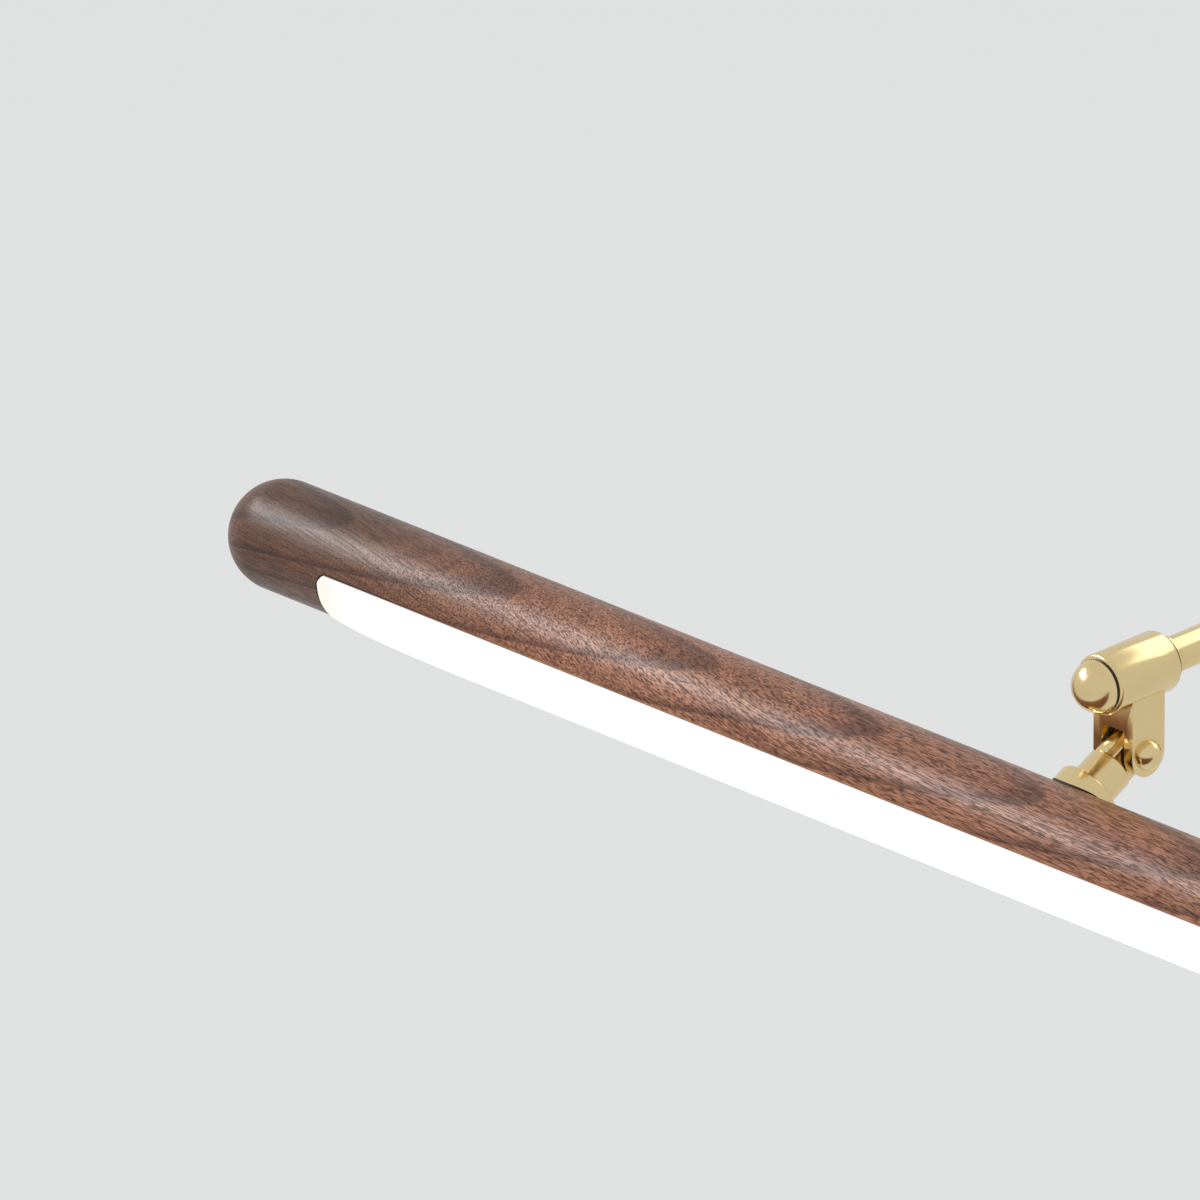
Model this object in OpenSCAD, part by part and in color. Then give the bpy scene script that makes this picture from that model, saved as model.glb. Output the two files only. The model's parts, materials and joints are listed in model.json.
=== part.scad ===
// Wall lamp: a round walnut light bar with a lit diffuser, on a short brass swing arm.
// Millimetres. The origin is the centre of the backplate's back face, on the wall.
// +X runs along the bar, +Y into the wall and +Z up, with the bar level and turned to light the room.

/* [Walnut bar] */
// Diameter of the bar
bar_d = 40; // [36:1:48]
// Length of the bar over its ball ends
bar_len = 780; // [520:1:1000]
// Distance from the wall to the knuckle that the bar tilts on
bar_reach = 242; // [210:1:300]
// Angle by which the bar is turned forward from lighting straight down
rest_tilt = 63; // [0:1:90]

/* [Diffuser] */
// Width of the diffuser at its widest
diffuser_w = 23; // [21:0.5:25]
// How far the diffuser stands proud of the wood
diffuser_proud = 5; // [3:0.1:7]
// Distance from the bar's tip to the diffuser's square end
diffuser_end = 56; // [40:1:100]
// Corner radius of the diffuser's end, seen from below
diffuser_corner = 4.5; // [2:0.5:6]
// Length over which the diffuser swells from flush to proud
diffuser_swell = 170; // [20:1:180]
// Wall of the diffuser
diffuser_wall = 2; // [1.5:0.1:2.5]
// Depth of the slot in the bar, up from the bar's lowest line
slot_depth = 17; // [15:0.5:18]
// Gap between the slot and the diffuser's sides
slot_gap = 0.15; // [0.1:0.05:0.3]
// Room for the diffuser to grow at each end of the slot
slot_end_gap = 0.5; // [0.3:0.1:1]

/* [Light source] */
// Thickness of the heat sink
sink_t = 4; // [3:0.5:5]
// Width of the LED board
board_w = 12; // [8:0.5:14]
// Thickness of the LED board
board_t = 1.6; // [1:0.1:2]
// Spacing of the LED chips
chip_pitch = 18; // [12:1:40]
// Length of bare heat sink at each end of the LED board, where its screws sit
sink_margin = 24; // [18:1:40]

/* [Neck and knuckle] */
// Diameter of the neck's flange
flange_d = 24; // [20:1:28]
// Thickness of the neck's flange over the bar's crest
flange_t = 4; // [3:0.5:7]
// Thickness of the black gasket between the flange and the wood
gasket_t = 0.8; // [0.5:0.1:2]
// Diameter of the threaded nipples
nipple_d = 10; // [8:0.5:12]
// Wall of the threaded nipples
nipple_wall = 1.5; // [1:0.1:2]
// Diameter of the neck's stem
stem_d = 17; // [15:1:20]
// Height of the neck's stem
stem_h = 12; // [7:0.5:14]
// Radius of the knuckle's eyes
knuckle_r = 8; // [6:0.5:9]
// Thickness of the neck's tongue
tongue_t = 9; // [6:0.5:12]
// Thickness of each cheek of the fork
cheek_t = 4; // [3:0.5:6]
// Thickness of the friction washers in the knuckle
tilt_washer_t = 0.7; // [0.4:0.1:1.5]
// Diameter of the tilt pin
tilt_pin_d = 6; // [4:0.5:8]

/* [Arm] */
// Outer diameter of the arm tube
tube_d = 13; // [12:0.5:16]
// Wall of the arm tube
tube_wall = 1.2; // [0.8:0.1:1.6]
// Outer radius of the hub that turns on the arm's end
hub_r = 11; // [9:0.5:14]
// Length of that hub
hub_len = 30; // [24:1:40]
// Diameter of the journal that the hub turns on
journal_d = 10; // [9:0.5:11]
// Thickness of the black washers on the arm
arm_washer_t = 1; // [0.6:0.1:2]
// Diameter of the lead inside the arm and the bar
lead_d = 4; // [3:0.5:4.5]

/* [Wall base] */
// Diameter of the canopy
canopy_d = 110; // [108:1:140]
// Depth of the canopy
canopy_depth = 30; // [29:1:40]
// Wall of the canopy
canopy_wall = 1.5; // [1:0.1:2]
// Radius of the canopy's front edge
canopy_edge = 6; // [3:0.5:10]
// Thickness of the backplate
plate_t = 2; // [1.5:0.1:3]
// Distance from the canopy's face to the swing pin
swing_out = 24; // [22:1:40]
// Diameter of the swing pin
swing_pin_d = 8; // [6:0.5:9]
// Radius of the swing eyes
swing_r = 9; // [8:0.5:11]
// Height of the arm's swing eye
swing_h = 16; // [15:1:24]
// Thickness of each lug of the yoke
lug_t = 5; // [4:0.5:8]
// Spacing of the two wall screw slots
screw_spacing = 70; // [60:1:74]
// Width of the wall screw slots
screw_slot_w = 5; // [4:0.5:6]
// Length of the wall screw slots
screw_slot_len = 12; // [8:1:14]
// Bore of the supply cable's grommet
cable_d = 8; // [6:0.5:9]

/* [Switch] */
// Diameter of the push-button
button_d = 8; // [6:0.5:9]
// Travel of the push-button
button_travel = 2; // [1:0.5:3]
// Distance from the canopy's rim to the push-button
button_inset = 19; // [17:1:21]

/* [Hidden] */
$fn = 64;
// Radial clearance of parts that turn, slide or screw in a hole
run_gap = 0.05;
// Clearance between flat faces that slide past each other
face_gap = 0.05;
// Overlap of cuts past the face that they open
cut = 1;

// Bar, measured from its own axis
bar_r = bar_d / 2;
diffuser_r = diffuser_w / 2;
diffuser_len = bar_len - 2 * diffuser_end;
diffuser_axis = bar_r + diffuser_proud - diffuser_r;
wall_step = 0.2;
slot_roof = slot_depth - bar_r;
diffuser_top = slot_roof - 0.3;
swell_steps = 16;

// Heat sink, its snap ribs, board and chips
sink_w = diffuser_w - 2 * diffuser_wall - 2 * wall_step - 0.4;
sink_end_room = 12;
sink_len = diffuser_len - 2 * sink_end_room;
rib_t = 1.2;
rib_out = 0.8;
rib_gap = 0.1;
rib_drop = 1.4;
board_len = sink_len - 2 * sink_margin;
chip_size = [3.5, 2.8, 0.8];
chip_count = floor((board_len - chip_size[0]) / chip_pitch);
sink_screw_d = 3;
sink_screw_head_d = 5.6;
sink_screw_len = 14;

// Nipple through the bar, with its nut and washer in a pocket over the heat sink
nipple_r = nipple_d / 2;
nut_t = 5;
nut_across = 17;
nut_r = nut_across / 2 / cos(30);
washer_t = 1.2;
washer_r = nut_r + 0.6;
pocket_r = washer_r + 0.6;
pocket_h = nut_t + washer_t + 1.8;
pocket_top = slot_roof + pocket_h;
flange_base = bar_r + gasket_t;
stem_base = flange_base + flange_t;
nipple_top = stem_base + stem_h - 1.5;
nipple_foot = pocket_top - washer_t - nut_t;

// Knuckle, measured from the bar's axis
shank_step = 0.6;
pin_h = stem_base + stem_h + knuckle_r + 2;
crown_base = pin_h + knuckle_r + 2;
crown_h = 7;
tilt_washer_x = tongue_t / 2 + face_gap;
cheek_x = tilt_washer_x + tilt_washer_t + face_gap;
fork_half = cheek_x + cheek_t;
pin_head_t = 3;
pin_head_r = tilt_pin_d / 2 + 2.5;
bar_drop = crown_base + crown_h + hub_r;
pin_z = pin_h - bar_drop;

// Arm, measured from the wall along -Y
swing_y = -(canopy_depth + swing_out);
hub_back = -(bar_reach - hub_len / 2);
hub_front = hub_back - hub_len;
collar_t = 3;
collar_r = tube_d / 2 + 1.5;
tube_end = hub_back + arm_washer_t + collar_t;
tube_r = tube_d / 2;
tube_bore_r = tube_r - tube_wall;
socket_deep = 18;
socket_out = swing_r + 5;
tube_start = swing_y - socket_out;
boss_len = socket_out + socket_deep;
boss_r = min(swing_h / 2 - 0.3, tube_r + 1.2);
plug_len = 20;
journal_r = journal_d / 2;
cap_deep = 6;
cap_r = hub_r - 1.5;
cap_len = cap_deep + 3;
lead_r = lead_d / 2;
lead_room = 0.4;
lead_bore_r = lead_r + lead_room;

// Swing pivot
swing_pin_r = swing_pin_d / 2;
lug_z = swing_h / 2 + arm_washer_t + 2 * face_gap;
lug_top = lug_z + lug_t;
yoke_base_r = 18;
yoke_base_t = 7;
swing_head_t = 4;
swing_nut_t = 6;
swing_head_r = swing_r - 1.5;

// Wall base
canopy_r = canopy_d / 2;
canopy_in_r = canopy_r - canopy_wall;
canopy_back = canopy_depth - canopy_wall;
edge_steps = 8;
plate_r = canopy_in_r - 3.5;
boss_plate_r = 9;
boss_plate_h = 8;
tab_t = 3;
tab_w = 12;
tab_h = 14;
side_screw_d = 3;
side_screw_y = -8;
driver_size = [54, 20, 22];
driver_z = plate_r - 23;
driver_tab = [7, 2, 8];
small_screw_d = 3;
block_size = [21, 14, 13];
block_at = [-19.5, 21.5 - plate_r];
block_poles = 3;
block_screw_r = 1.7;
block_screw_deep = 5;
earth_at = [22, 20 - plate_r];
earth_screw_d = 4;
grommet_z = 28 - plate_r;
grommet_neck_r = cable_d / 2 + 2;
grommet_flange_r = cable_d / 2 + 4;
grommet_flange_t = 2;

// Push-button switch, seated behind the canopy's face
button_r = button_d / 2;
bush_r = button_r + 2;
bush_out = 5;
switch_r = bush_r + 2.5;
switch_len = 18;
bezel_r = bush_r + 3;
bezel_t = 3;
button_drop = canopy_r - button_inset;
button_out = bush_out + 4 + button_travel;
button_len = button_out + 8;
spring_wire = 0.8;
spring_turns = 5;
spring_r = button_r - spring_wire / 2 - 0.25;
curl_rings = 8;
wire_sides = 6;

// Shared shapes

// Places a child that is drawn about the bar's axis with the light straight down
module at_bar() {
    at_tilt_pin() rotate([-rest_tilt, 0, 0]) translate([0, 0, -pin_h]) children();
}

// Places a child that is drawn about the tilt pin
module at_tilt_pin() {
    translate([0, -bar_reach, pin_z]) children();
}

// Cylinder along +X from x
module rod_x(r, len, x = 0) {
    translate([x, 0, 0]) rotate([0, 90, 0]) cylinder(r = r, h = len);
}

// Cylinder along -Y from y, away from the wall
module rod_y(r, len, y = 0) {
    translate([0, y, 0]) rotate([90, 0, 0]) cylinder(r = r, h = len);
}

// Hexagonal nut standing on z = 0
module hex_nut(across, thick, bore_r) {
    difference() {
        cylinder(r = across / 2 / cos(30), h = thick, $fn = 6);
        translate([0, 0, -cut]) cylinder(r = bore_r, h = thick + 2 * cut);
    }
}

// Flat washer standing on z = 0
module washer(r, thick, bore_r) {
    difference() {
        cylinder(r = r, h = thick);
        translate([0, 0, -cut]) cylinder(r = bore_r, h = thick + 2 * cut);
    }
}

// Hollow threaded tube standing on z = 0
module nipple(len) {
    washer(nipple_r, len, nipple_r - nipple_wall);
}

// Domed head standing on z = 0
module domed_head(r, h) {
    dome_r = (r * r + h * h) / (2 * h);
    intersection() {
        cylinder(r = r, h = h);
        translate([0, 0, h - dome_r]) sphere(r = dome_r);
    }
}

// Rectangle with round corners, centred
module rounded_plate(len, wide, corner) {
    square([len - 2 * corner, wide], center = true);
    square([len, wide - 2 * corner], center = true);
    for (x = [-1, 1], y = [-1, 1])
        translate([x * (len / 2 - corner), y * (wide / 2 - corner)]) circle(r = corner);
}

// Pan-head screw with its head standing on z = 0 and its shank below
module pan_screw(d, len, head_d, head_h) {
    domed_head(head_d / 2, head_h);
    translate([0, 0, -len]) cylinder(d = d, h = len + cut / 2);
}

// Light bar

// Radius of the diffuser's belly about the bar's axis at each step of its swollen end
function swell_points(inset) = [
    for (i = [0 : swell_steps])
        let (turn = 90 * i / swell_steps)
        [bar_r - inset + diffuser_proud * sin(turn),
         diffuser_len / 2 - inset - diffuser_swell * (1 - cos(turn))]
];

// Solid that rounds off the diffuser's two ends, turned about the bar's axis
module swell(inset) {
    end = swell_points(inset);
    far = [for (i = [swell_steps : -1 : 0]) [end[i][0], -end[i][1]]];
    tips = [[0, diffuser_len / 2 - inset], [0, inset - diffuser_len / 2]];
    rotate([0, 90, 0]) rotate_extrude()
        polygon(concat([tips[0]], end, far, [tips[1]]));
}

// The diffuser's outside, or its inside where inset by the wall, up to a height
module trough(inset, top) {
    side = diffuser_r - inset;
    intersection() {
        union() {
            translate([0, 0, -diffuser_axis]) rod_x(side, diffuser_len, -diffuser_len / 2);
            translate([-diffuser_len / 2, wall_step - side, -diffuser_axis])
                cube([diffuser_len, 2 * (side - wall_step), diffuser_axis + top]);
        }
        translate([0, 0, -2 * bar_r]) linear_extrude(2 * bar_r + top)
            rounded_plate(diffuser_len - 2 * inset, 2 * side, diffuser_corner - inset / 2);
        swell(inset);
    }
}

// Two long ribs on which the diffuser snaps home
module snap_ribs(gap) {
    for (side = [-1, 1])
        translate([0, side * (sink_w / 2), slot_roof - rib_drop - rib_t / 2])
            cube([sink_len + 2 * gap, 2 * (rib_out + gap), rib_t + 2 * gap], center = true);
}

// Places a child at each of the heat sink's screws
module at_sink_screws() {
    for (side = [-1, 1])
        translate([side * (sink_len - sink_margin) / 2, 0, slot_roof - sink_t]) children();
}

module walnut_bar() {
    color("saddlebrown") at_bar() difference() {
        union() {
            rod_x(bar_r, bar_len - bar_d, bar_r - bar_len / 2);
            for (side = [-1, 1]) translate([side * (bar_len / 2 - bar_r), 0, 0]) sphere(r = bar_r);
        }
        translate([0, 0, -bar_r - cut]) linear_extrude(slot_depth + cut)
            rounded_plate(diffuser_len + 2 * slot_end_gap, diffuser_w + 2 * slot_gap,
                          diffuser_corner + slot_gap);
        translate([0, 0, slot_roof - cut]) cylinder(r = pocket_r, h = pocket_h + cut);
        cylinder(r = nipple_r + run_gap, h = bar_d);
        at_sink_screws() cylinder(r = sink_screw_d / 2 + run_gap, h = sink_screw_len + cut);
    }
}

module diffuser() {
    color("white") at_bar() difference() {
        trough(0, diffuser_top);
        trough(diffuser_wall, bar_r);
        snap_ribs(rib_gap);
    }
}

module heat_sink() {
    color("silver") at_bar() difference() {
        union() {
            translate([-sink_len / 2, -sink_w / 2, slot_roof - sink_t])
                cube([sink_len, sink_w, sink_t]);
            snap_ribs(0);
        }
        translate([0, 0, slot_roof - sink_t - cut])
            cylinder(r = lead_bore_r, h = sink_t + 2 * cut);
        at_sink_screws() {
            translate([0, 0, -cut]) cylinder(r = sink_screw_d / 2 + run_gap, h = sink_t + 2 * cut);
            translate([0, 0, -cut]) cylinder(d = sink_screw_head_d, h = cut + 2);
        }
    }
}

module channel_screws() {
    color("dimgray") at_bar() at_sink_screws() {
        cylinder(d = sink_screw_head_d - 0.2, h = 2);
        cylinder(d = sink_screw_d, h = sink_screw_len);
    }
}

module led_board() {
    color("whitesmoke") at_bar() difference() {
        translate([-board_len / 2, -board_w / 2, slot_roof - sink_t - board_t])
            cube([board_len, board_w, board_t]);
        translate([0, 0, slot_roof - sink_t - board_t - cut])
            cylinder(r = lead_bore_r, h = board_t + 2 * cut);
    }
}

module led_chips() {
    first = -(chip_count - 1) / 2 * chip_pitch;
    color("khaki") at_bar() for (i = [0 : chip_count - 1])
        let (x = first + i * chip_pitch)
        if (abs(x) > lead_d + chip_size[0])
            translate([x - chip_size[0] / 2, -chip_size[1] / 2,
                       slot_roof - sink_t - board_t - chip_size[2]])
                cube(chip_size);
}

module bar_nipple() {
    color("gold") at_bar() translate([0, 0, nipple_foot]) nipple(nipple_top - nipple_foot);
}

module bar_washer() {
    color("silver") at_bar() translate([0, 0, pocket_top - washer_t])
        washer(washer_r, washer_t, nipple_r + run_gap);
}

module bar_nut() {
    color("silver") at_bar() translate([0, 0, nipple_foot])
        hex_nut(nut_across, nut_t, nipple_r + run_gap);
}

module bar_lead() {
    low = slot_roof - sink_t - board_t;
    color("black") at_bar() translate([0, 0, low]) cylinder(r = lead_r, h = nipple_top - low);
}

module saddle_gasket() {
    color("black") at_bar() difference() {
        intersection() {
            cylinder(d = flange_d, h = bar_d);
            rod_x(flange_base, 2 * flange_d, -flange_d);
        }
        rod_x(bar_r + run_gap, 4 * flange_d, -2 * flange_d);
        cylinder(r = nipple_r + run_gap, h = bar_d);
    }
}

module neck() {
    shank = knuckle_r - shank_step;
    color("goldenrod") at_bar() difference() {
        union() {
            cylinder(d = flange_d, h = stem_base);
            translate([0, 0, stem_base - cut]) cylinder(d = stem_d, h = stem_h + cut);
            translate([-tongue_t / 2, -shank, stem_base + stem_h - cut])
                cube([tongue_t, 2 * shank, pin_h - stem_base - stem_h + cut]);
            translate([0, 0, pin_h]) rod_x(knuckle_r, tongue_t, -tongue_t / 2);
        }
        rod_x(flange_base + run_gap, 2 * flange_d, -flange_d);
        cylinder(r = nipple_r + run_gap, h = nipple_top);
        translate([0, 0, pin_h]) rod_x(tilt_pin_d / 2 + run_gap, 4 * tongue_t, -2 * tongue_t);
    }
}

// Head: the hub that turns on the arm's end and its fork

module head_hub() {
    shank = knuckle_r - shank_step;
    crown_z = crown_base - bar_drop;
    color("goldenrod") difference() {
        union() {
            rod_y(hub_r, hub_len, hub_back);
            translate([-fork_half, -bar_reach - shank, crown_z])
                cube([2 * fork_half, 2 * shank, -crown_z - journal_r - 1]);
            for (x = [-fork_half, cheek_x]) {
                translate([x, -bar_reach - shank, pin_z])
                    cube([cheek_t, 2 * shank, crown_z - pin_z + cut]);
                at_tilt_pin() rod_x(knuckle_r, cheek_t, x);
            }
        }
        rod_y(journal_r + run_gap, hub_len + 2 * cut, hub_back + cut);
        at_tilt_pin() rod_x(tilt_pin_d / 2 + run_gap, 4 * fork_half, -2 * fork_half);
    }
}

module roll_washers() {
    color("black") for (y = [hub_back + arm_washer_t - face_gap, hub_front - face_gap])
        translate([0, y, 0]) rotate([90, 0, 0])
            washer(cap_r, arm_washer_t - face_gap, journal_r + run_gap);
}

module tilt_pin() {
    color("gold") at_tilt_pin() {
        rod_x(tilt_pin_d / 2, 2 * fork_half + pin_head_t + cut, -fork_half - cut);
        translate([-fork_half, 0, 0]) rotate([0, -90, 0]) domed_head(pin_head_r, pin_head_t);
    }
}

module tilt_nut() {
    color("gold") at_tilt_pin() translate([fork_half, 0, 0]) rotate([0, 90, 0]) difference() {
        domed_head(pin_head_r, pin_head_t + 2);
        translate([0, 0, -cut])
            cylinder(r = tilt_pin_d / 2 + run_gap, h = pin_head_t + cut + face_gap);
    }
}

module tilt_washers() {
    color("black") at_tilt_pin() for (x = [tilt_washer_x, -tilt_washer_x - tilt_washer_t])
        translate([x, 0, 0]) rotate([0, 90, 0])
            washer(knuckle_r - 0.5, tilt_washer_t, tilt_pin_d / 2 + run_gap);
}

// Swing arm

module arm_eye() {
    color("goldenrod") difference() {
        union() {
            translate([0, swing_y, -swing_h / 2]) cylinder(r = swing_r, h = swing_h);
            rod_y(boss_r, boss_len, swing_y);
        }
        translate([0, swing_y, -swing_h]) cylinder(r = swing_pin_r + run_gap, h = 2 * swing_h);
        rod_y(tube_r + run_gap, socket_deep + cut, tube_start);
        rod_y(lead_bore_r, boss_len, swing_y);
    }
}

module swing_washers() {
    color("black") for (z = [swing_h / 2 + face_gap, -swing_h / 2 - face_gap - arm_washer_t])
        translate([0, swing_y, z]) washer(swing_r, arm_washer_t, swing_pin_r + run_gap);
}

module arm_tube() {
    color("goldenrod") difference() {
        rod_y(tube_r, tube_start - tube_end, tube_start);
        rod_y(tube_bore_r, tube_start - tube_end + 2 * cut, tube_start + cut);
    }
}

module arm_spindle() {
    journal_len = hub_len + 2 * arm_washer_t + cap_deep;
    whole = plug_len + collar_t + journal_len;
    color("goldenrod") difference() {
        union() {
            rod_y(tube_bore_r - run_gap, plug_len + cut, tube_end + plug_len);
            rod_y(collar_r, collar_t, tube_end);
            rod_y(journal_r, journal_len + cut, tube_end - collar_t + cut);
        }
        rod_y(lead_bore_r, whole + 2 * cut, tube_end + plug_len + cut);
    }
}

module spindle_cap() {
    color("goldenrod") translate([0, hub_front - arm_washer_t, 0]) rotate([90, 0, 0]) difference() {
        domed_head(cap_r, cap_len);
        translate([0, 0, -cut]) cylinder(r = journal_r + run_gap, h = cap_deep + cut + face_gap);
    }
}

module arm_lead() {
    near = swing_y - swing_pin_r - 1;
    color("black") rod_y(lead_r, near - hub_front, near);
}

// Wall base

// Places a child at each of the canopy's side screws, with +Z pointing out of the canopy
module at_side_screws() {
    for (side = [-1, 1])
        translate([side * canopy_r, side_screw_y, 0]) rotate([0, side * 90, 0]) children();
}

// Places a child on the backplate at x and z, with +Z pointing away from the wall
module on_plate(x, z) {
    translate([x, -plate_t, z]) rotate([90, 0, 0]) children();
}

// Places a child at each of the LED driver's screws
module at_driver_screws() {
    reach = (driver_size[0] + driver_tab[0]) / 2;
    for (side = [-1, 1]) on_plate(side * reach, driver_z) children();
}

module backplate() {
    color("silver") difference() {
        union() {
            rod_y(plate_r, plate_t);
            rod_y(boss_plate_r, boss_plate_h + plate_t);
            for (side = [-1, 1])
                translate([side * (canopy_in_r - tab_t / 2 - 1), -tab_h / 2, 0])
                    cube([tab_t, tab_h, tab_w], center = true);
            for (side = [-1, 1])
                translate([side * (plate_r - 2), -plate_t / 2, 0])
                    cube([2 * (canopy_in_r - 1 - plate_r) + 4, plate_t, tab_w], center = true);
        }
        rod_y(nipple_r + run_gap, 2 * canopy_depth, -plate_t);
        translate([0, 0, grommet_z]) rod_y(grommet_neck_r + run_gap, plate_t + 2 * cut, cut);
        for (side = [-1, 1])
            translate([side * screw_spacing / 2, cut, 0]) rotate([90, 0, 0])
                linear_extrude(plate_t + 2 * cut) screw_slot();
        at_driver_screws() translate([0, 0, -plate_t - cut])
            cylinder(r = small_screw_d / 2 + run_gap, h = plate_t + 2 * cut);
        on_plate(block_at[0], block_at[1]) translate([0, 0, -plate_t - cut])
            cylinder(r = small_screw_d / 2 + run_gap, h = plate_t + 2 * cut);
        on_plate(earth_at[0], earth_at[1]) translate([0, 0, -plate_t - cut])
            cylinder(r = earth_screw_d / 2 + run_gap, h = plate_t + 2 * cut);
        at_side_screws() translate([0, 0, -canopy_wall - tab_t - 2 * cut])
            cylinder(r = side_screw_d / 2 + run_gap, h = canopy_wall + tab_t + 2 * cut);
    }
}

// Outline of a wall screw slot, lying along X
module screw_slot() {
    half = (screw_slot_len - screw_slot_w) / 2;
    square([2 * half, screw_slot_w], center = true);
    for (side = [-1, 1]) translate([side * half, 0]) circle(d = screw_slot_w);
}

// Half-section of the canopy's outside, or its inside where inset by the wall
function canopy_points(inset) = concat(
    [[0, -cut * sign(inset)], [canopy_r - inset, -cut * sign(inset)]],
    [for (i = [0 : edge_steps])
        let (turn = 90 * i / edge_steps, r = canopy_edge - inset)
        [canopy_r - canopy_edge + r * cos(turn), canopy_depth - canopy_edge + r * sin(turn)]],
    [[0, canopy_depth - inset]]
);

module canopy() {
    color("goldenrod") difference() {
        rotate([90, 0, 0]) difference() {
            rotate_extrude() polygon(canopy_points(0));
            rotate_extrude() polygon(canopy_points(canopy_wall));
        }
        rod_y(nipple_r + run_gap, 2 * canopy_depth);
        translate([0, 0, -button_drop]) rod_y(bush_r + run_gap, 2 * canopy_depth);
        at_side_screws() translate([0, 0, -2 * canopy_wall])
            cylinder(r = side_screw_d / 2 + run_gap, h = 4 * canopy_wall);
    }
}

module canopy_screws() {
    color("gold") at_side_screws() pan_screw(side_screw_d, canopy_wall + tab_t + 2, 6, 2);
}

module cable_grommet() {
    color("black") translate([0, 0, grommet_z]) difference() {
        union() {
            rod_y(grommet_neck_r, plate_t + cut);
            rod_y(grommet_flange_r, grommet_flange_t, -plate_t);
        }
        rod_y(cable_d / 2, plate_t + grommet_flange_t + 2 * cut, cut);
    }
}

module yoke_nipple() {
    deep = canopy_depth + yoke_base_t - 2;
    color("gold") rotate([90, 0, 0]) translate([0, 0, plate_t]) nipple(deep - plate_t);
}

module base_locknut() {
    color("silver") on_plate(0, 0) translate([0, 0, boss_plate_h])
        hex_nut(nut_across, nut_t, nipple_r + run_gap);
}

module canopy_nut() {
    color("silver") translate([0, nut_t - canopy_back, 0]) rotate([90, 0, 0])
        hex_nut(nut_across, nut_t, nipple_r + run_gap);
}

module swing_yoke() {
    shank = swing_r - shank_step;
    color("goldenrod") difference() {
        union() {
            rod_y(yoke_base_r, yoke_base_t, -canopy_depth);
            for (z = [lug_z, -lug_top]) {
                translate([-shank, swing_y, z])
                    cube([2 * shank, swing_out - yoke_base_t + cut, lug_t]);
                translate([0, swing_y, z]) cylinder(r = swing_r, h = lug_t);
            }
        }
        rod_y(nipple_r + run_gap, yoke_base_t - 2 + cut, cut - canopy_depth);
        rod_y(lead_bore_r, 2 * yoke_base_t, -canopy_depth);
        translate([0, swing_y, -2 * lug_top]) cylinder(r = swing_pin_r + run_gap, h = 4 * lug_top);
    }
}

module swing_pin() {
    color("gold") translate([0, swing_y, 0]) difference() {
        union() {
            translate([0, 0, -lug_top - swing_nut_t / 2])
                cylinder(r = swing_pin_r, h = 2 * lug_top + swing_nut_t / 2 + cut);
            translate([0, 0, lug_top]) domed_head(swing_head_r, swing_head_t);
        }
        rod_y(lead_bore_r, 4 * swing_pin_r, 2 * swing_pin_r);
    }
}

module swing_cap_nut() {
    color("gold") translate([0, swing_y, -lug_top]) rotate([180, 0, 0]) difference() {
        domed_head(swing_head_r, swing_nut_t);
        translate([0, 0, -cut])
            cylinder(r = swing_pin_r + run_gap, h = swing_nut_t / 2 + cut + face_gap);
    }
}

module led_driver() {
    color("white") difference() {
        union() {
            translate([-driver_size[0] / 2, -plate_t - driver_size[1], driver_z - driver_size[2] / 2])
                cube(driver_size);
            translate([-driver_size[0] / 2 - driver_tab[0], -plate_t - driver_tab[1],
                       driver_z - driver_tab[2] / 2])
                cube([driver_size[0] + 2 * driver_tab[0], driver_tab[1], driver_tab[2]]);
        }
        at_driver_screws() translate([0, 0, -cut])
            cylinder(r = small_screw_d / 2 + run_gap, h = driver_tab[1] + 2 * cut);
    }
}

module driver_screws() {
    color("silver") at_driver_screws() translate([0, 0, driver_tab[1]])
        pan_screw(small_screw_d, driver_tab[1] + plate_t, 5.6, 2);
}

// Places a child at each screw well of the terminal block
module at_block_wells() {
    pole = block_size[0] / block_poles;
    for (i = [0 : block_poles - 1], row = [-1, 1])
        translate([(i - (block_poles - 1) / 2) * pole, row * block_size[2] / 3.4,
                   block_size[1] - block_screw_deep])
            children();
}

module terminal_block() {
    color("white") on_plate(block_at[0], block_at[1]) difference() {
        translate([-block_size[0] / 2, -block_size[2] / 2, 0])
            cube([block_size[0], block_size[2], block_size[1]]);
        at_block_wells() cylinder(r = block_screw_r + run_gap, h = block_screw_deep + cut);
        translate([0, 0, -cut]) cylinder(r = small_screw_d / 2 + run_gap, h = block_size[1] + 2 * cut);
    }
}

module terminal_screws() {
    color("silver") on_plate(block_at[0], block_at[1]) {
        at_block_wells() cylinder(r = block_screw_r, h = block_screw_deep - 1.5);
        translate([0, 0, block_size[1]])
            pan_screw(small_screw_d, block_size[1] + plate_t, 5.2, 1.8);
    }
}

module earth_screw() {
    color("gold") on_plate(earth_at[0], earth_at[1]) {
        washer(4.5, 1, earth_screw_d / 2 - 0.2);
        translate([0, 0, 1]) pan_screw(earth_screw_d, plate_t + 1, 7, 2.4);
    }
}

// Places a child on the switch's axis at the canopy's inner face, with +Z pointing out of the wall
module at_switch() {
    translate([0, -canopy_back, -button_drop]) rotate([90, 0, 0]) children();
}

module switch_body() {
    color("dimgray") at_switch() difference() {
        union() {
            translate([0, 0, -switch_len]) cylinder(r = switch_r, h = switch_len);
            translate([0, 0, -cut]) cylinder(r = bush_r, h = canopy_wall + bush_out + cut);
        }
        translate([0, 0, -switch_len + canopy_wall])
            cylinder(r = button_r + run_gap, h = switch_len + bush_out + 2 * cut);
    }
}

module switch_bezel() {
    color("gold") at_switch() translate([0, 0, canopy_wall])
        washer(bezel_r, bezel_t, bush_r + run_gap);
}

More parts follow.
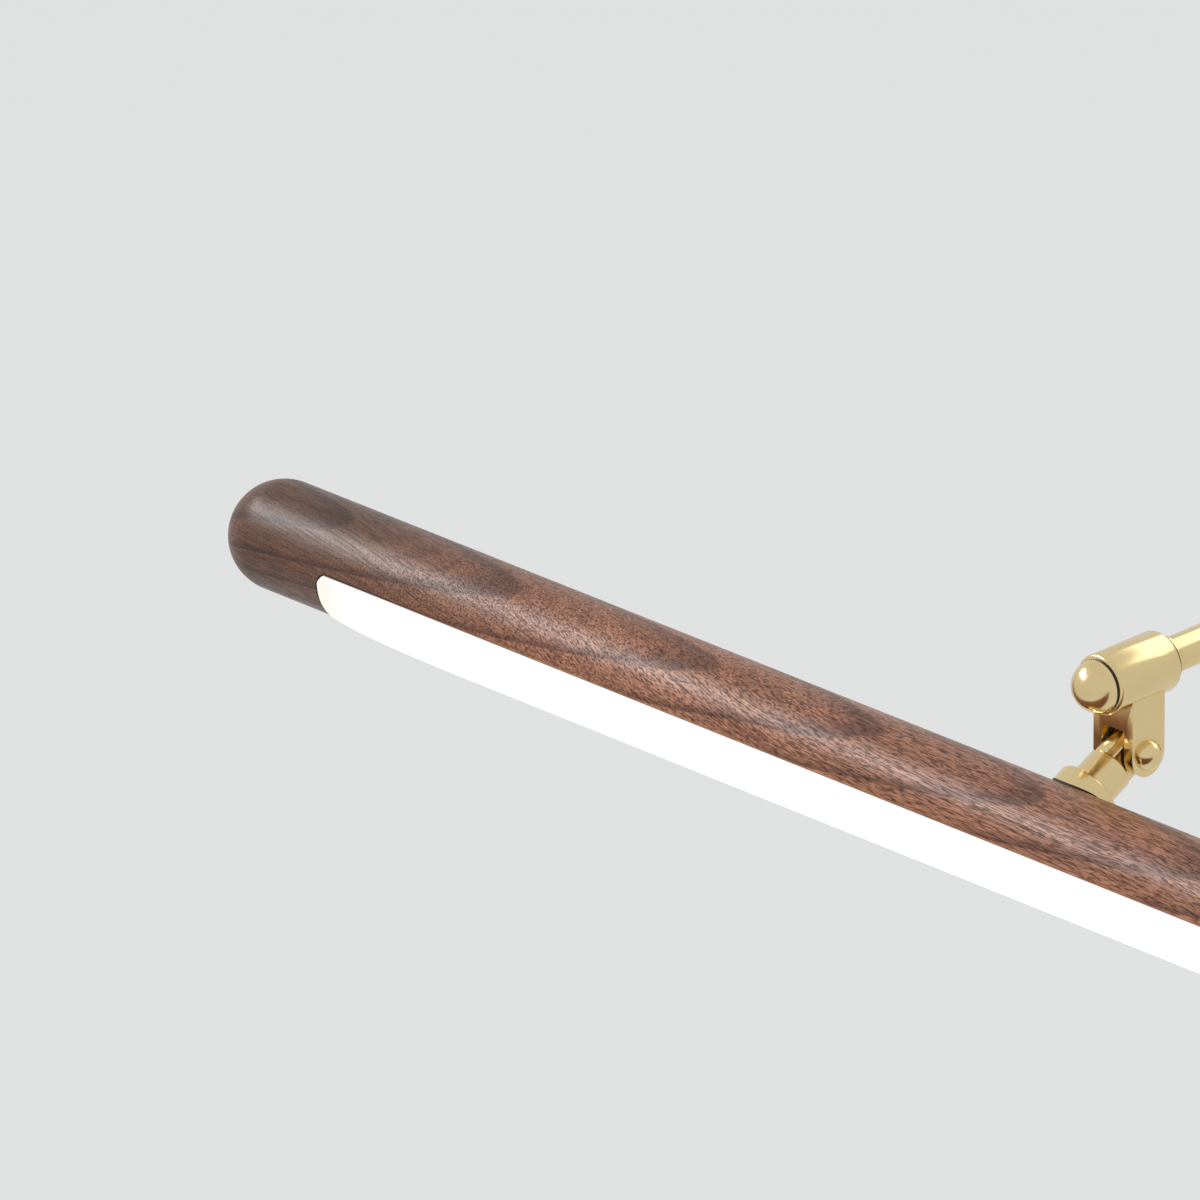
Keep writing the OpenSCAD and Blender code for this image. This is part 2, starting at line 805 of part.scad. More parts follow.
module switch_button() {
    round_h = 1.2;
    color("gold") at_switch() translate([0, 0, canopy_wall + button_out - button_len]) {
        cylinder(r = button_r, h = button_len - round_h);
        translate([0, 0, button_len - round_h]) domed_head(button_r, round_h);
    }
}

// Points of the spring's wire: rings of a round section along a helix that climbs z by rise
function coil_points(r, rise, wire_r) = [
    for (i = [0 : spring_turns * curl_rings], k = [0 : wire_sides - 1])
        let (turn = 360 * i / curl_rings, lift = rise * i / (spring_turns * curl_rings),
             around = 360 * k / wire_sides, out = r + wire_r * cos(around))
        [out * cos(turn), out * sin(turn), lift + wire_r * sin(around)]
];

// Faces of a tube with open rings one after another, closed at both ends
function coil_faces(rings) = concat(
    [for (k = [1 : wire_sides - 2]) [0, k, k + 1]],
    [for (i = [0 : rings - 2], k = [0 : wire_sides - 1], half = [0, 1])
        let (a = i * wire_sides + k, b = i * wire_sides + (k + 1) % wire_sides)
        half == 0 ? [a, a + wire_sides, b] : [b, a + wire_sides, b + wire_sides]],
    [for (k = [1 : wire_sides - 2])
        let (last = (rings - 1) * wire_sides) [last, last + k + 1, last + k]]
);

module switch_spring() {
    wire_r = spring_wire / 2;
    foot = canopy_wall - switch_len + face_gap;
    head = canopy_wall + button_out - button_len - face_gap;
    rise = head - foot - spring_wire;
    color("silver") at_switch() translate([0, 0, foot + wire_r])
        polyhedron(coil_points(spring_r - wire_r, rise, wire_r),
                   coil_faces(spring_turns * curl_rings + 1));
}

walnut_bar();
diffuser();
heat_sink();
channel_screws();
led_board();
led_chips();
bar_nipple();
bar_washer();
bar_nut();
bar_lead();
saddle_gasket();
neck();
head_hub();
roll_washers();
tilt_pin();
tilt_nut();
tilt_washers();
arm_eye();
swing_washers();
arm_tube();
arm_spindle();
spindle_cap();
arm_lead();
backplate();
canopy();
canopy_screws();
cable_grommet();
yoke_nipple();
base_locknut();
canopy_nut();
swing_yoke();
swing_pin();
swing_cap_nut();
led_driver();
driver_screws();
terminal_block();
terminal_screws();
earth_screw();
switch_body();
switch_bezel();
switch_spring();
switch_button();
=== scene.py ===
"""Wall lamp: a walnut light bar with an opal diffuser on a brass swing arm, dressed around its CAD frame."""

import json
import logging
import math
from dataclasses import dataclass
from enum import Enum
from functools import partial, reduce
from typing import Any, Callable, ClassVar, Optional, Sequence, Union

import bpy
from mathutils import Matrix, Vector


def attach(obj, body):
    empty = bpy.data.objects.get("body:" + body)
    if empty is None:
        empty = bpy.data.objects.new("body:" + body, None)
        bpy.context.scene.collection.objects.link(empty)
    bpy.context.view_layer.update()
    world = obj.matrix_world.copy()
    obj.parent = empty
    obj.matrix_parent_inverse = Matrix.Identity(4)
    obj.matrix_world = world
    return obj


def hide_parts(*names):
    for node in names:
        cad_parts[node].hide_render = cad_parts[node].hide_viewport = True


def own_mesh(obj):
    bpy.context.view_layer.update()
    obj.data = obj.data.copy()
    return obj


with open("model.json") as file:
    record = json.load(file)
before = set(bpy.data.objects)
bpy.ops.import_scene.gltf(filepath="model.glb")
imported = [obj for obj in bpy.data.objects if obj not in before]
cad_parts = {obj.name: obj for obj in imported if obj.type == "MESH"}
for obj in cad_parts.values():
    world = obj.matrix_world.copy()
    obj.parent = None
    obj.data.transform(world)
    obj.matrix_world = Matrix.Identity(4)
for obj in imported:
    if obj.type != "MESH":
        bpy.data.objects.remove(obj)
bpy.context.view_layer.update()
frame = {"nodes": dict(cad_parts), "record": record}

log = logging.getLogger("wall_lamp")

Color = tuple[float, float, float]
Point = tuple[float, float, float]
# Low and high end of a value, and what each of them becomes
Span = tuple[float, float, float, float]
# Radius and height of a turned ring
Ring = tuple[float, float]
Piece = bpy.types.Object
Socket = bpy.types.NodeSocket
Outputs = bpy.types.bpy_prop_collection
Value = Union[Socket, float, Sequence[float]]

MM = 0.001
BLACK = (0.0, 0.0, 0.0)
# Radius that stands for the point of a dome
TIP = 0.05 * MM
# Clearance between pieces that go into one another
GAP = 0.05 * MM
# Distance under which two places count as one
NEAR = 0.01 * MM
# Step by which cutters and joined forms go past a surface
PAST = 1 * MM
# Sides of a turned piece, and of a large one
SIDES = 96
MANY_SIDES = 192
# Largest angle between faces that is shaded smooth, and smallest that is rounded
SMOOTH_ANGLE = math.radians(35)
SHARP_ANGLE = math.radians(50)
# Frame of the arm and the wall base: X along the bar, Y up and Z out of the wall
OUT = Matrix.Rotation(math.pi / 2, 4, "X")


class Body(Enum):
    """Bodies of the lamp that move on their own."""

    WALL_BASE = "wall_base"
    PLUNGER = "switch_plunger"
    ARM = "arm"
    HEAD = "head"
    LIGHT_BAR = "light_bar"


class Axis(Enum):
    """Turns that lay a piece drawn along Z on another axis."""

    X = Matrix.Rotation(math.pi / 2, 4, "Y")
    LEFT = Matrix.Rotation(-math.pi / 2, 4, "Y")
    Y = Matrix.Rotation(-math.pi / 2, 4, "X")
    DOWN = Matrix.Rotation(math.pi / 2, 4, "X")
    Z = Matrix.Identity(4)


class Slot(Enum):
    """Material slots of the record."""

    WALNUT = "walnut"
    OPAL = "opal"
    BRASS = "brass"
    RUBBER = "black_rubber"
    BLACK_PLASTIC = "black_plastic"
    WHITE_PLASTIC = "white_plastic"
    BOARD = "white_board"
    PHOSPHOR = "phosphor"
    ALUMINIUM = "aluminium"
    STEEL = "steel"


NODE_SLOTS = {entry["node"]: Slot(entry["material_slot"]) for entry in frame["record"]["subparts"]}


@dataclass(frozen=True)
class Layout:
    """Sizes and places that more than one class needs."""

    bar_radius: float = 20 * MM
    bar_length: float = 780 * MM
    diffuser_radius: float = 11.5 * MM
    diffuser_end: float = 56 * MM
    diffuser_corner: float = 4.5 * MM
    side_gap: float = 0.15 * MM
    end_gap: float = 0.5 * MM
    reach: float = 242 * MM
    drop: float = 28 * MM
    pin_height: float = 46.8 * MM
    rest_tilt: float = math.radians(63)
    tilt_pin: float = 3 * MM
    tilt_eye: float = 8 * MM
    journal: float = 5 * MM
    nipple: float = 5 * MM
    swing_out: float = 54 * MM
    swing_pin: float = 4 * MM
    swing_eye: float = 9 * MM
    canopy_depth: float = 30 * MM
    canopy_wall: float = 1.5 * MM
    switch_drop: float = 36 * MM
    bush_radius: float = 6 * MM
    bush_front: float = 35 * MM
    button_radius: float = 4 * MM
    button_back: float = 22 * MM

    @property
    def diffuser_half(self) -> float:
        """Half the diffuser's length."""
        return self.bar_length / 2 - self.diffuser_end

    @property
    def slot_reach(self) -> float:
        """Distance from the bar's middle to each end of its slot."""
        return self.diffuser_half + self.end_gap

    @property
    def bar(self) -> Matrix:
        """The bar's own frame at rest: its axis along X, and the light straight down its Z."""
        tilt = Matrix.Rotation(-self.rest_tilt, 4, "X") @ Matrix.Translation((0, 0, -self.pin_height))
        return Matrix.Translation((0, -self.reach, -self.drop)) @ tilt

    @property
    def switch(self) -> Matrix:
        """The frame of the push switch."""
        return Matrix.Translation((0, -self.switch_drop, 0))


LAMP = Layout()


class Graph:
    """The node graph of a material or a world, added to one node at a time."""

    def __init__(self, owner: Union[bpy.types.Material, bpy.types.World]) -> None:
        """Start from the plain shader of a new material or world.

        Args:
            owner: The material or world.
        """
        owner.use_nodes = True
        self.owner = owner
        self.tree = owner.node_tree
        self.surface = next(node for node in self.tree.nodes if not node.outputs).inputs["Surface"]
        self.shader = self.surface.links[0].from_node

    def node(self, kind: str, inputs: dict[Union[str, int], Value], **settings: Any) -> Outputs:
        """Add a node.

        Args:
            kind: Type of the shader node.
            inputs: Value or source socket of each input.
            **settings: Properties of the node.

        Returns:
            The new node's outputs.
        """
        made = self.tree.nodes.new("ShaderNode" + kind)
        for key, value in settings.items():
            setattr(made, key, value)
        for key, value in inputs.items():
            self.feed(made.inputs[key], value)
        return made.outputs

    def feed(self, socket: Socket, value: Value) -> None:
        """Link a socket, or set it where the value is constant.

        Args:
            socket: Input to feed.
            value: Source socket or constant, with colours given without their alpha.
        """
        if isinstance(value, Socket):
            self.tree.links.new(value, socket)
        else:
            socket.default_value = (*value, 1.0) if socket.type == "RGBA" else value

    def math(self, operation: str, *values: Value) -> Socket:
        """Add a maths step and return its output."""
        return self.node("Math", dict(enumerate(values)), operation=operation)[0]

    def times(self, *values: Value) -> Socket:
        """Return the product of two or more values."""
        return reduce(partial(self.math, "MULTIPLY"), values)

    def plus(self, first: Value, second: Value) -> Socket:
        """Return the sum of two values."""
        return self.math("ADD", first, second)

    def minus(self, first: Value, second: Value) -> Socket:
        """Return the first value less the second."""
        return self.math("SUBTRACT", first, second)

    def length(self, first: Socket, second: Socket) -> Socket:
        """Return the length of a line by its parts along two axes."""
        return self.math("SQRT", self.plus(self.times(first, first), self.times(second, second)))

    def vector(self, operation: str, first: Value, second: Value, output: str = "Vector") -> Socket:
        """Add a vector step and return one of its outputs."""
        return self.node("VectorMath", {0: first, 1: second}, operation=operation)[output]

    def scaled(self, vector: Value, factor: Socket) -> Socket:
        """Return a vector or colour times a factor."""
        return self.node("VectorMath", {0: vector, "Scale": factor}, operation="SCALE")[0]

    def noise(self, vector: Socket, scale: float, detail: float, roughness: float = 0.5) -> Outputs:
        """Add a noise texture and return its value and its colour."""
        inputs = {"Vector": vector, "Scale": scale, "Detail": detail, "Roughness": roughness}
        return self.node("TexNoise", inputs)

    def long_noise(self, vector: Socket, cells: Point, detail: float, roughness: float = 0.5) -> Outputs:
        """Add a noise texture with its own number of cells per metre along each axis."""
        return self.noise(self.vector("MULTIPLY", vector, cells), 1.0, detail, roughness)

    def ramp(self, factor: Socket, stops: Sequence[tuple[float, Color]]) -> Socket:
        """Add a colour ramp.

        Args:
            factor: Where to read the ramp.
            stops: Position and colour of each stop.

        Returns:
            The ramp's colour.
        """
        color = self.node("ValToRGB", {0: factor})[0]
        elements = color.node.color_ramp.elements
        while len(elements) < len(stops):
            elements.new(0.5)
        for element, (position, shade) in zip(elements, stops):
            element.position = position
            element.color = (*shade, 1.0)
        return color

    def span(self, value: Value, low: float, high: float, start: float = 0.0, end: float = 1.0) -> Socket:
        """Map a range smoothly on to another and return the result."""
        inputs = {0: value, 1: low, 2: high, 3: start, 4: end}
        return self.node("MapRange", inputs, interpolation_type="SMOOTHSTEP")[0]

    def mix(self, factor: Value, first: Value, second: Value) -> Socket:
        """Add a colour mix and return its colour."""
        return self.node("Mix", {0: factor, 6: first, 7: second}, data_type="RGBA")[2]

    def here(self, place: Optional[Matrix] = None) -> Socket:
        """Return the piece's own coordinates, in metres.

        Args:
            place: Frame that the coordinates are read in, or None for the lamp's own.

        Returns:
            A vector socket.
        """
        local = self.node("TexCoord", {})["Object"]
        if place is None:
            return local
        inputs = {"Vector": local, "Location": place.to_translation(), "Rotation": place.to_euler()}
        return self.node("Mapping", inputs, vector_type="TEXTURE")[0]

    def bump(self, height: Socket, strength: float, distance: float) -> Socket:
        """Add a bump and return its normal."""
        return self.node("Bump", {"Height": height, "Strength": strength, "Distance": distance})[0]

    def dress(self, **sockets: Value) -> Union[bpy.types.Material, bpy.types.World]:
        """Feed the plain shader.

        Args:
            **sockets: Value of each input, with underscores for the spaces in its name.

        Returns:
            The material or world.
        """
        for name, value in sockets.items():
            self.feed(self.shader.inputs[name.replace("_", " ")], value)
        return self.owner


class BarGraph(Graph):
    """The graph of a material on the light bar, with coordinates in the bar's frame."""

    def __init__(self, name: str) -> None:
        """Start the material and read the coordinates.

        Args:
            name: Name of the material.
        """
        super().__init__(bpy.data.materials.new(name))
        self.place = self.here(LAMP.bar)
        self.along, self.across, self.up = self.node("SeparateXYZ", {0: self.place})
        self.reach = self.math("ABSOLUTE", self.along)

    def outside(self, start: float, end: float) -> Socket:
        """Return 1 at the bar's surface and 0 inside it, passing over between these two depths."""
        off = self.length(self.across, self.up)
        return self.span(off, LAMP.bar_radius - start, LAMP.bar_radius - end)


@dataclass(frozen=True)
class WalnutFinish:
    """Oiled walnut: growth rings that nest like cups along the bar, and pores along drifting fibres, with
    painted shade on its upper side and round its slot, and a painted glow beside the slot.
    """

    dark: Color = (0.11, 0.038, 0.018)
    middle: Color = (0.424, 0.174, 0.091)
    light: Color = (0.558, 0.246, 0.137)
    # Colour of the pores, also used for painted shadow round the slot and in it
    pore_and_shadow: Color = (0.045, 0.01, 0.004)
    face_up: Point = (0.0, -0.517, 0.856)
    end_darkening_lean: float = 1.2
    end_darkening: Span = (0.2, 0.37, 1.0, 0.32)
    # Painted shade: the bar's upper side is darkened
    painted_top_shade: Span = (0.0, 17 * MM, 1.0, 0.84)
    sway_cells: Point = (9.0, 30.0, 30.0)
    sway_bend: Point = (0.0, 0.009, 0.009)
    climb: float = 0.16
    wave_rate: float = 14.0
    wave_phase: float = 3.07
    wave_height: float = 8.6 * MM
    fibre_cells: Point = (30.0, 1500.0, 1500.0)
    fibre_share: float = 0.4
    fibre_tone: Span = (0.46, 0.62, 0.0, 0.65)
    streak_cells: Point = (7.0, 120.0, 120.0)
    streak_stops: Point = (0.32, 0.6, 0.8)
    cup_axis: Point = (0.0, -19.8 * MM, 2.7 * MM)
    cup_tip: float = -0.243
    cup_pitch: float = 0.085
    cup_curve: float = 260.0
    cup_sway: float = 0.5
    ring_rise: Span = (0.62, 0.97, 0.0, 1.0)
    ring_fall: Span = (0.98, 1.0, 1.0, 0.0)
    ring_depth: float = 0.74
    fine_rings: float = 5.0
    fine_rise: Span = (0.7, 1.0, 0.0, 0.45)
    pore_cells: Point = (0.0, 2900.0, 2900.0)
    pore_run: float = 200.0
    pore_shortening: float = 3400.0
    pore_cut: Span = (0.42, 0.51, 1.0, 0.0)
    pore_depth: Span = (0.32, 0.7, 0.4, 0.68)
    skin_from: float = 0.2 * MM
    skin_to: float = 0.05 * MM
    slot_margin: float = 0.1 * MM
    shadow_line_away: Span = (0.25 * MM, 0.65 * MM, 1.0, 0.0)
    shadow_line_along: Span = (0.2, 0.31, 0.2, 1.0)
    painted_spill_glow: Color = (0.55, 0.2, 0.045)
    spill_glow_strength: float = 0.35
    spill_glow_away: Span = (0.0, 0.8 * MM, 1.0, 0.0)
    spill_glow_along: Span = (0.235, 0.33, 1.0, 0.0)
    roughness: Span = (0.3, 0.7, 0.32, 0.44)
    specular: Span = (0.0, 1.0, 0.54, 0.16)
    relief_strength: float = 0.3
    relief_height: float = 0.05 * MM

    def build(self) -> bpy.types.Material:
        """Make the material.

        Returns:
            The material.
        """
        wood = BarGraph("oiled_walnut")
        sway = wood.long_noise(wood.place, self.sway_cells, detail=2.0)
        grain = self.fibre_lines(wood, sway["Color"])
        fibre = wood.long_noise(grain, self.fibre_cells, detail=3.0, roughness=0.6)[0]
        fuzz = wood.times(fibre, self.fibre_share)
        # Darker towards the ends, and painted shade on the upper side
        end_tone_and_top_shade = self.end_tone_and_top_shade(wood)
        pores = wood.times(self.pores(wood, grain), wood.span(end_tone_and_top_shade, *self.pore_depth))
        rings = wood.times(self.rings(wood, wood.plus(sway[0], fuzz)), self.ring_depth)
        tone = wood.mix(rings, self.streaks(wood, grain), self.dark)
        tone = wood.mix(wood.span(fibre, *self.fibre_tone), tone, self.dark)
        tone = wood.scaled(wood.mix(pores, tone, self.pore_and_shadow), end_tone_and_top_shade)
        skin = self.skin(wood)
        away = self.from_slot(wood)
        under = wood.math("LESS_THAN", wood.up, 0.0)
        # Painted shadow: a dark line on the wood round the slot's edge, strongest towards the bar's ends
        shade = wood.times(wood.span(away, *self.shadow_line_away), under, wood.span(wood.reach, *self.shadow_line_along))
        tone = wood.mix(shade, tone, self.pore_and_shadow)
        # Painted light: an orange glow on the wood just beside the slot, fading out towards the bar's ends,
        # for the diffuser's light falling on it
        rim = wood.times(wood.span(away, *self.spill_glow_away), under, wood.span(wood.reach, *self.spill_glow_along), skin)
        return wood.dress(
            # Painted shadow: the slot's walls take the pore colour
            Base_Color=wood.mix(skin, self.pore_and_shadow, tone),
            Roughness=wood.span(fibre, *self.roughness),
            Specular_IOR_Level=wood.span(pores, *self.specular),
            Normal=wood.bump(wood.minus(fuzz, pores), self.relief_strength, self.relief_height),
            Emission_Color=wood.mix(rim, BLACK, self.painted_spill_glow),
            Emission_Strength=self.spill_glow_strength)

    def end_tone_and_top_shade(self, wood: BarGraph) -> Socket:
        """Return how bright the wood is: lower towards the bar's ends, and lower on its upper side as painted
        shade.

        Args:
            wood: Graph to add to.

        Returns:
            A value socket from 0 to 1.
        """
        height = wood.vector("DOT_PRODUCT", wood.place, self.face_up, "Value")
        lean = wood.plus(wood.reach, wood.times(height, self.end_darkening_lean))
        return wood.times(wood.span(lean, *self.end_darkening), wood.span(height, *self.painted_top_shade))

    def fibre_lines(self, wood: BarGraph, sway: Socket) -> Socket:
        """Return coordinates that stay the same across the grain all along a fibre.

        Args:
            wood: Graph to add to.
            sway: Slow noise that bends the fibres.

        Returns:
            A vector socket.
        """
        wave = wood.math("SINE", wood.plus(wood.times(wood.along, self.wave_rate), self.wave_phase))
        climb = wood.plus(wood.times(wood.along, self.climb), wood.times(wave, self.wave_height))
        straight = wood.vector("ADD", wood.place, wood.scaled(self.face_up, climb))
        bend = wood.vector("MULTIPLY", wood.vector("SUBTRACT", sway, (0.5, 0.5, 0.5)), self.sway_bend)
        return wood.vector("ADD", straight, bend)

    def rings(self, wood: BarGraph, sway: Socket) -> Socket:
        """Return how late in its growth ring the wood is, dark where one ring ends and the next starts.

        Args:
            wood: Graph to add to.
            sway: Noise that makes the rings uneven.

        Returns:
            A value socket from 0 to 1.
        """
        flat = wood.vector("MULTIPLY", wood.place, (0.0, 1.0, 1.0))
        off = wood.vector("DISTANCE", flat, self.cup_axis, "Value")
        cup = wood.plus(wood.along, wood.times(off, off, self.cup_curve))
        cup = wood.math("DIVIDE", wood.minus(cup, self.cup_tip), self.cup_pitch)
        mean_sway = (1 + self.fibre_share) / 2
        cup = wood.plus(cup, wood.times(wood.minus(sway, mean_sway), self.cup_sway))
        phase = wood.math("FRACT", cup)
        broad = wood.times(wood.span(phase, *self.ring_rise), wood.span(phase, *self.ring_fall))
        fine = wood.span(wood.math("FRACT", wood.times(cup, self.fine_rings)), *self.fine_rise)
        return wood.math("MAXIMUM", broad, fine)

    def streaks(self, wood: BarGraph, grain: Socket) -> Socket:
        """Return the wood's tone in long streaks."""
        drift = wood.long_noise(grain, self.streak_cells, detail=4.0, roughness=0.6)[0]
        return wood.ramp(drift, tuple(zip(self.streak_stops, (self.middle, self.light, self.middle))))

    def pores(self, wood: BarGraph, grain: Socket) -> Socket:
        """Return where the open pores are: dense dashes along the fibres, shorter towards the bar's ends.

        Args:
            wood: Graph to add to.
            grain: Coordinates along the fibres.

        Returns:
            A value socket from 0 to 1.
        """
        rate = wood.plus(wood.times(wood.along, wood.along, self.pore_shortening), self.pore_run)
        run = wood.node("CombineXYZ", {0: wood.times(wood.along, rate)})[0]
        cells = wood.vector("ADD", run, wood.vector("MULTIPLY", grain, self.pore_cells))
        return wood.span(wood.noise(cells, scale=1.0, detail=1.0)[0], *self.pore_cut)

    def from_slot(self, wood: BarGraph) -> Socket:
        """Return how far outside the slot's outline the wood is, seen from below.

        Args:
            wood: Graph to add to.

        Returns:
            A value socket in metres.
        """
        corner = LAMP.diffuser_corner + LAMP.side_gap
        ahead = wood.minus(wood.reach, LAMP.slot_reach - corner)
        aside = wood.minus(wood.math("ABSOLUTE", wood.across), LAMP.diffuser_radius + LAMP.side_gap - corner)
        past = [wood.math("MAXIMUM", part, 0.0) for part in (ahead, aside)]
        return wood.minus(wood.length(*past), corner)

    def skin(self, wood: BarGraph) -> Socket:
        """Return 1 on the bar's outside and 0 in the slot, whose walls are painted black as shadow."""
        beyond = wood.math("GREATER_THAN", wood.reach, LAMP.slot_reach + self.slot_margin)
        return wood.math("MAXIMUM", wood.outside(self.skin_from, self.skin_to), beyond)


@dataclass(frozen=True)
class OpalFinish:
    """Opal plastic lit from behind, creamier towards the ends past the last light source."""

    glow: Color = (1.0, 1.0, 0.985)
    end_glow: Color = (0.93, 0.85, 0.76)
    body: Color = (0.03, 0.03, 0.029)
    paler: float = 1.1
    roughness: float = 0.38
    lit_half: float = 312 * MM
    cloud_cells: float = 40.0
    skin_from: float = 0.5 * MM
    skin_to: float = 0.1 * MM

    def build(self) -> bpy.types.Material:
        """Make the material.

        Returns:
            The material.
        """
        graph = BarGraph("lit_opal")
        end = graph.span(graph.reach, self.lit_half, LAMP.diffuser_half)
        glow = graph.ramp(end, ((0.0, self.glow), (1.0, self.end_glow)))
        outside = graph.outside(self.skin_from, self.skin_to)
        cloud = graph.noise(graph.here(), self.cloud_cells, detail=2.0)[0]
        pale = tuple(channel * self.paler for channel in self.body)
        tone = graph.ramp(cloud, ((0.0, self.body), (1.0, pale)))
        # Painted shadow: below the bar's surface the opal is black and gives no light, so the gap round it
        # reads dark
        return graph.dress(Base_Color=graph.mix(outside, BLACK, tone), Roughness=self.roughness,
                           Emission_Color=graph.mix(outside, BLACK, glow), Emission_Strength=1.0)


@dataclass(frozen=True)
class MetalFinish:
    """Bare or polished metal with faint rub marks and a slightly uneven tone."""

    name: str
    color: Color
    worn: Color
    roughness: float
    cloud_cells: float = 60.0
    rub_cells: float = 900.0
    rub_share: float = 0.4
    worn_where: Span = (0.35, 0.75, 0.0, 1.0)
    dull_where: tuple[float, float] = (0.4, 1.0)
    polished: float = 0.8
    dulled: float = 1.5
    rub_strength: float = 0.05
    rub_height: float = 0.02 * MM

    def build(self) -> bpy.types.Material:
        """Make the material.

        Returns:
            The material.
        """
        graph = Graph(bpy.data.materials.new(self.name))
        place = graph.here()
        cloud = graph.noise(place, self.cloud_cells, detail=4.0)[0]
        rub = graph.noise(place, self.rub_cells, detail=2.0)[0]
        wear = graph.plus(cloud, graph.times(rub, self.rub_share))
        tone = graph.mix(graph.span(cloud, *self.worn_where), self.color, self.worn)
        low, high = self.roughness * self.polished, self.roughness * self.dulled
        return graph.dress(Base_Color=tone, Metallic=1.0,
                           Roughness=graph.span(wear, *self.dull_where, low, high),
                           Normal=graph.bump(rub, self.rub_strength, self.rub_height))


@dataclass(frozen=True)
class MouldedFinish:
    """Moulded plastic or rubber with a fine spark-eroded grain."""

    name: str
    color: Color
    roughness: float
    glow: float = 0.0
    uneven: float = 0.06
    uneven_where: tuple[float, float] = (0.3, 0.7)
    pale_where: tuple[float, float] = (0.3, 0.8)
    paler: float = 1.18
    lift: float = 0.006
    cloud_cells: float = 90.0
    grain_cells: float = 2200.0
    grain_strength: float = 0.15
    grain_height: float = 0.03 * MM

    def build(self) -> bpy.types.Material:
        """Make the material.

        Returns:
            The material.
        """
        graph = Graph(bpy.data.materials.new(self.name))
        place = graph.here()
        grain = graph.noise(place, self.grain_cells, detail=2.0)[0]
        cloud = graph.noise(place, self.cloud_cells, detail=3.0)[0]
        pale = tuple(min(1.0, channel * self.paler + self.lift) for channel in self.color)
        tone = graph.ramp(cloud, tuple(zip(self.pale_where, (self.color, pale))))
        low, high = self.roughness - self.uneven, self.roughness + self.uneven
        return graph.dress(Base_Color=tone, Roughness=graph.span(grain, *self.uneven_where, low, high),
                           Normal=graph.bump(grain, self.grain_strength, self.grain_height),
                           Emission_Color=self.color, Emission_Strength=self.glow)


class Palette:
    """The lamp's finishes, one material for each slot of the record."""

    def __init__(self) -> None:
        """Build every material once."""
        finishes = {
            Slot.WALNUT: WalnutFinish(),
            Slot.OPAL: OpalFinish(),
            Slot.BRASS: MetalFinish("polished_brass", (0.8, 0.63, 0.33), (0.77, 0.595, 0.3), 0.16),
            Slot.STEEL: MetalFinish("zinc_steel", (0.56, 0.57, 0.59), (0.52, 0.53, 0.56), 0.34),
            Slot.ALUMINIUM: MetalFinish("mill_aluminium", (0.7, 0.7, 0.72), (0.62, 0.62, 0.65), 0.4),
            Slot.RUBBER: MouldedFinish("black_rubber", (0.012, 0.012, 0.012), 0.62),
            Slot.BLACK_PLASTIC: MouldedFinish("black_plastic", (0.016, 0.016, 0.017), 0.45),
            Slot.WHITE_PLASTIC: MouldedFinish("white_plastic", (0.72, 0.72, 0.7), 0.45),
            Slot.BOARD: MouldedFinish("board_mask", (0.75, 0.75, 0.73), 0.4),
            Slot.PHOSPHOR: MouldedFinish("chip_phosphor", (0.8, 0.62, 0.16), 0.5, glow=1.0),
        }
        self.materials = {slot: finish.build() for slot, finish in finishes.items()}

    def dress(self, piece: Piece, slot: Slot) -> None:
        """Give a piece the one material of a slot."""
        piece.data.materials.clear()
        piece.data.materials.append(self.materials[slot])

    def dress_frame(self) -> None:
        """Dress every node of the CAD frame by its slot in the record."""
        for node, slot in NODE_SLOTS.items():
            self.dress(frame["nodes"][node], slot)


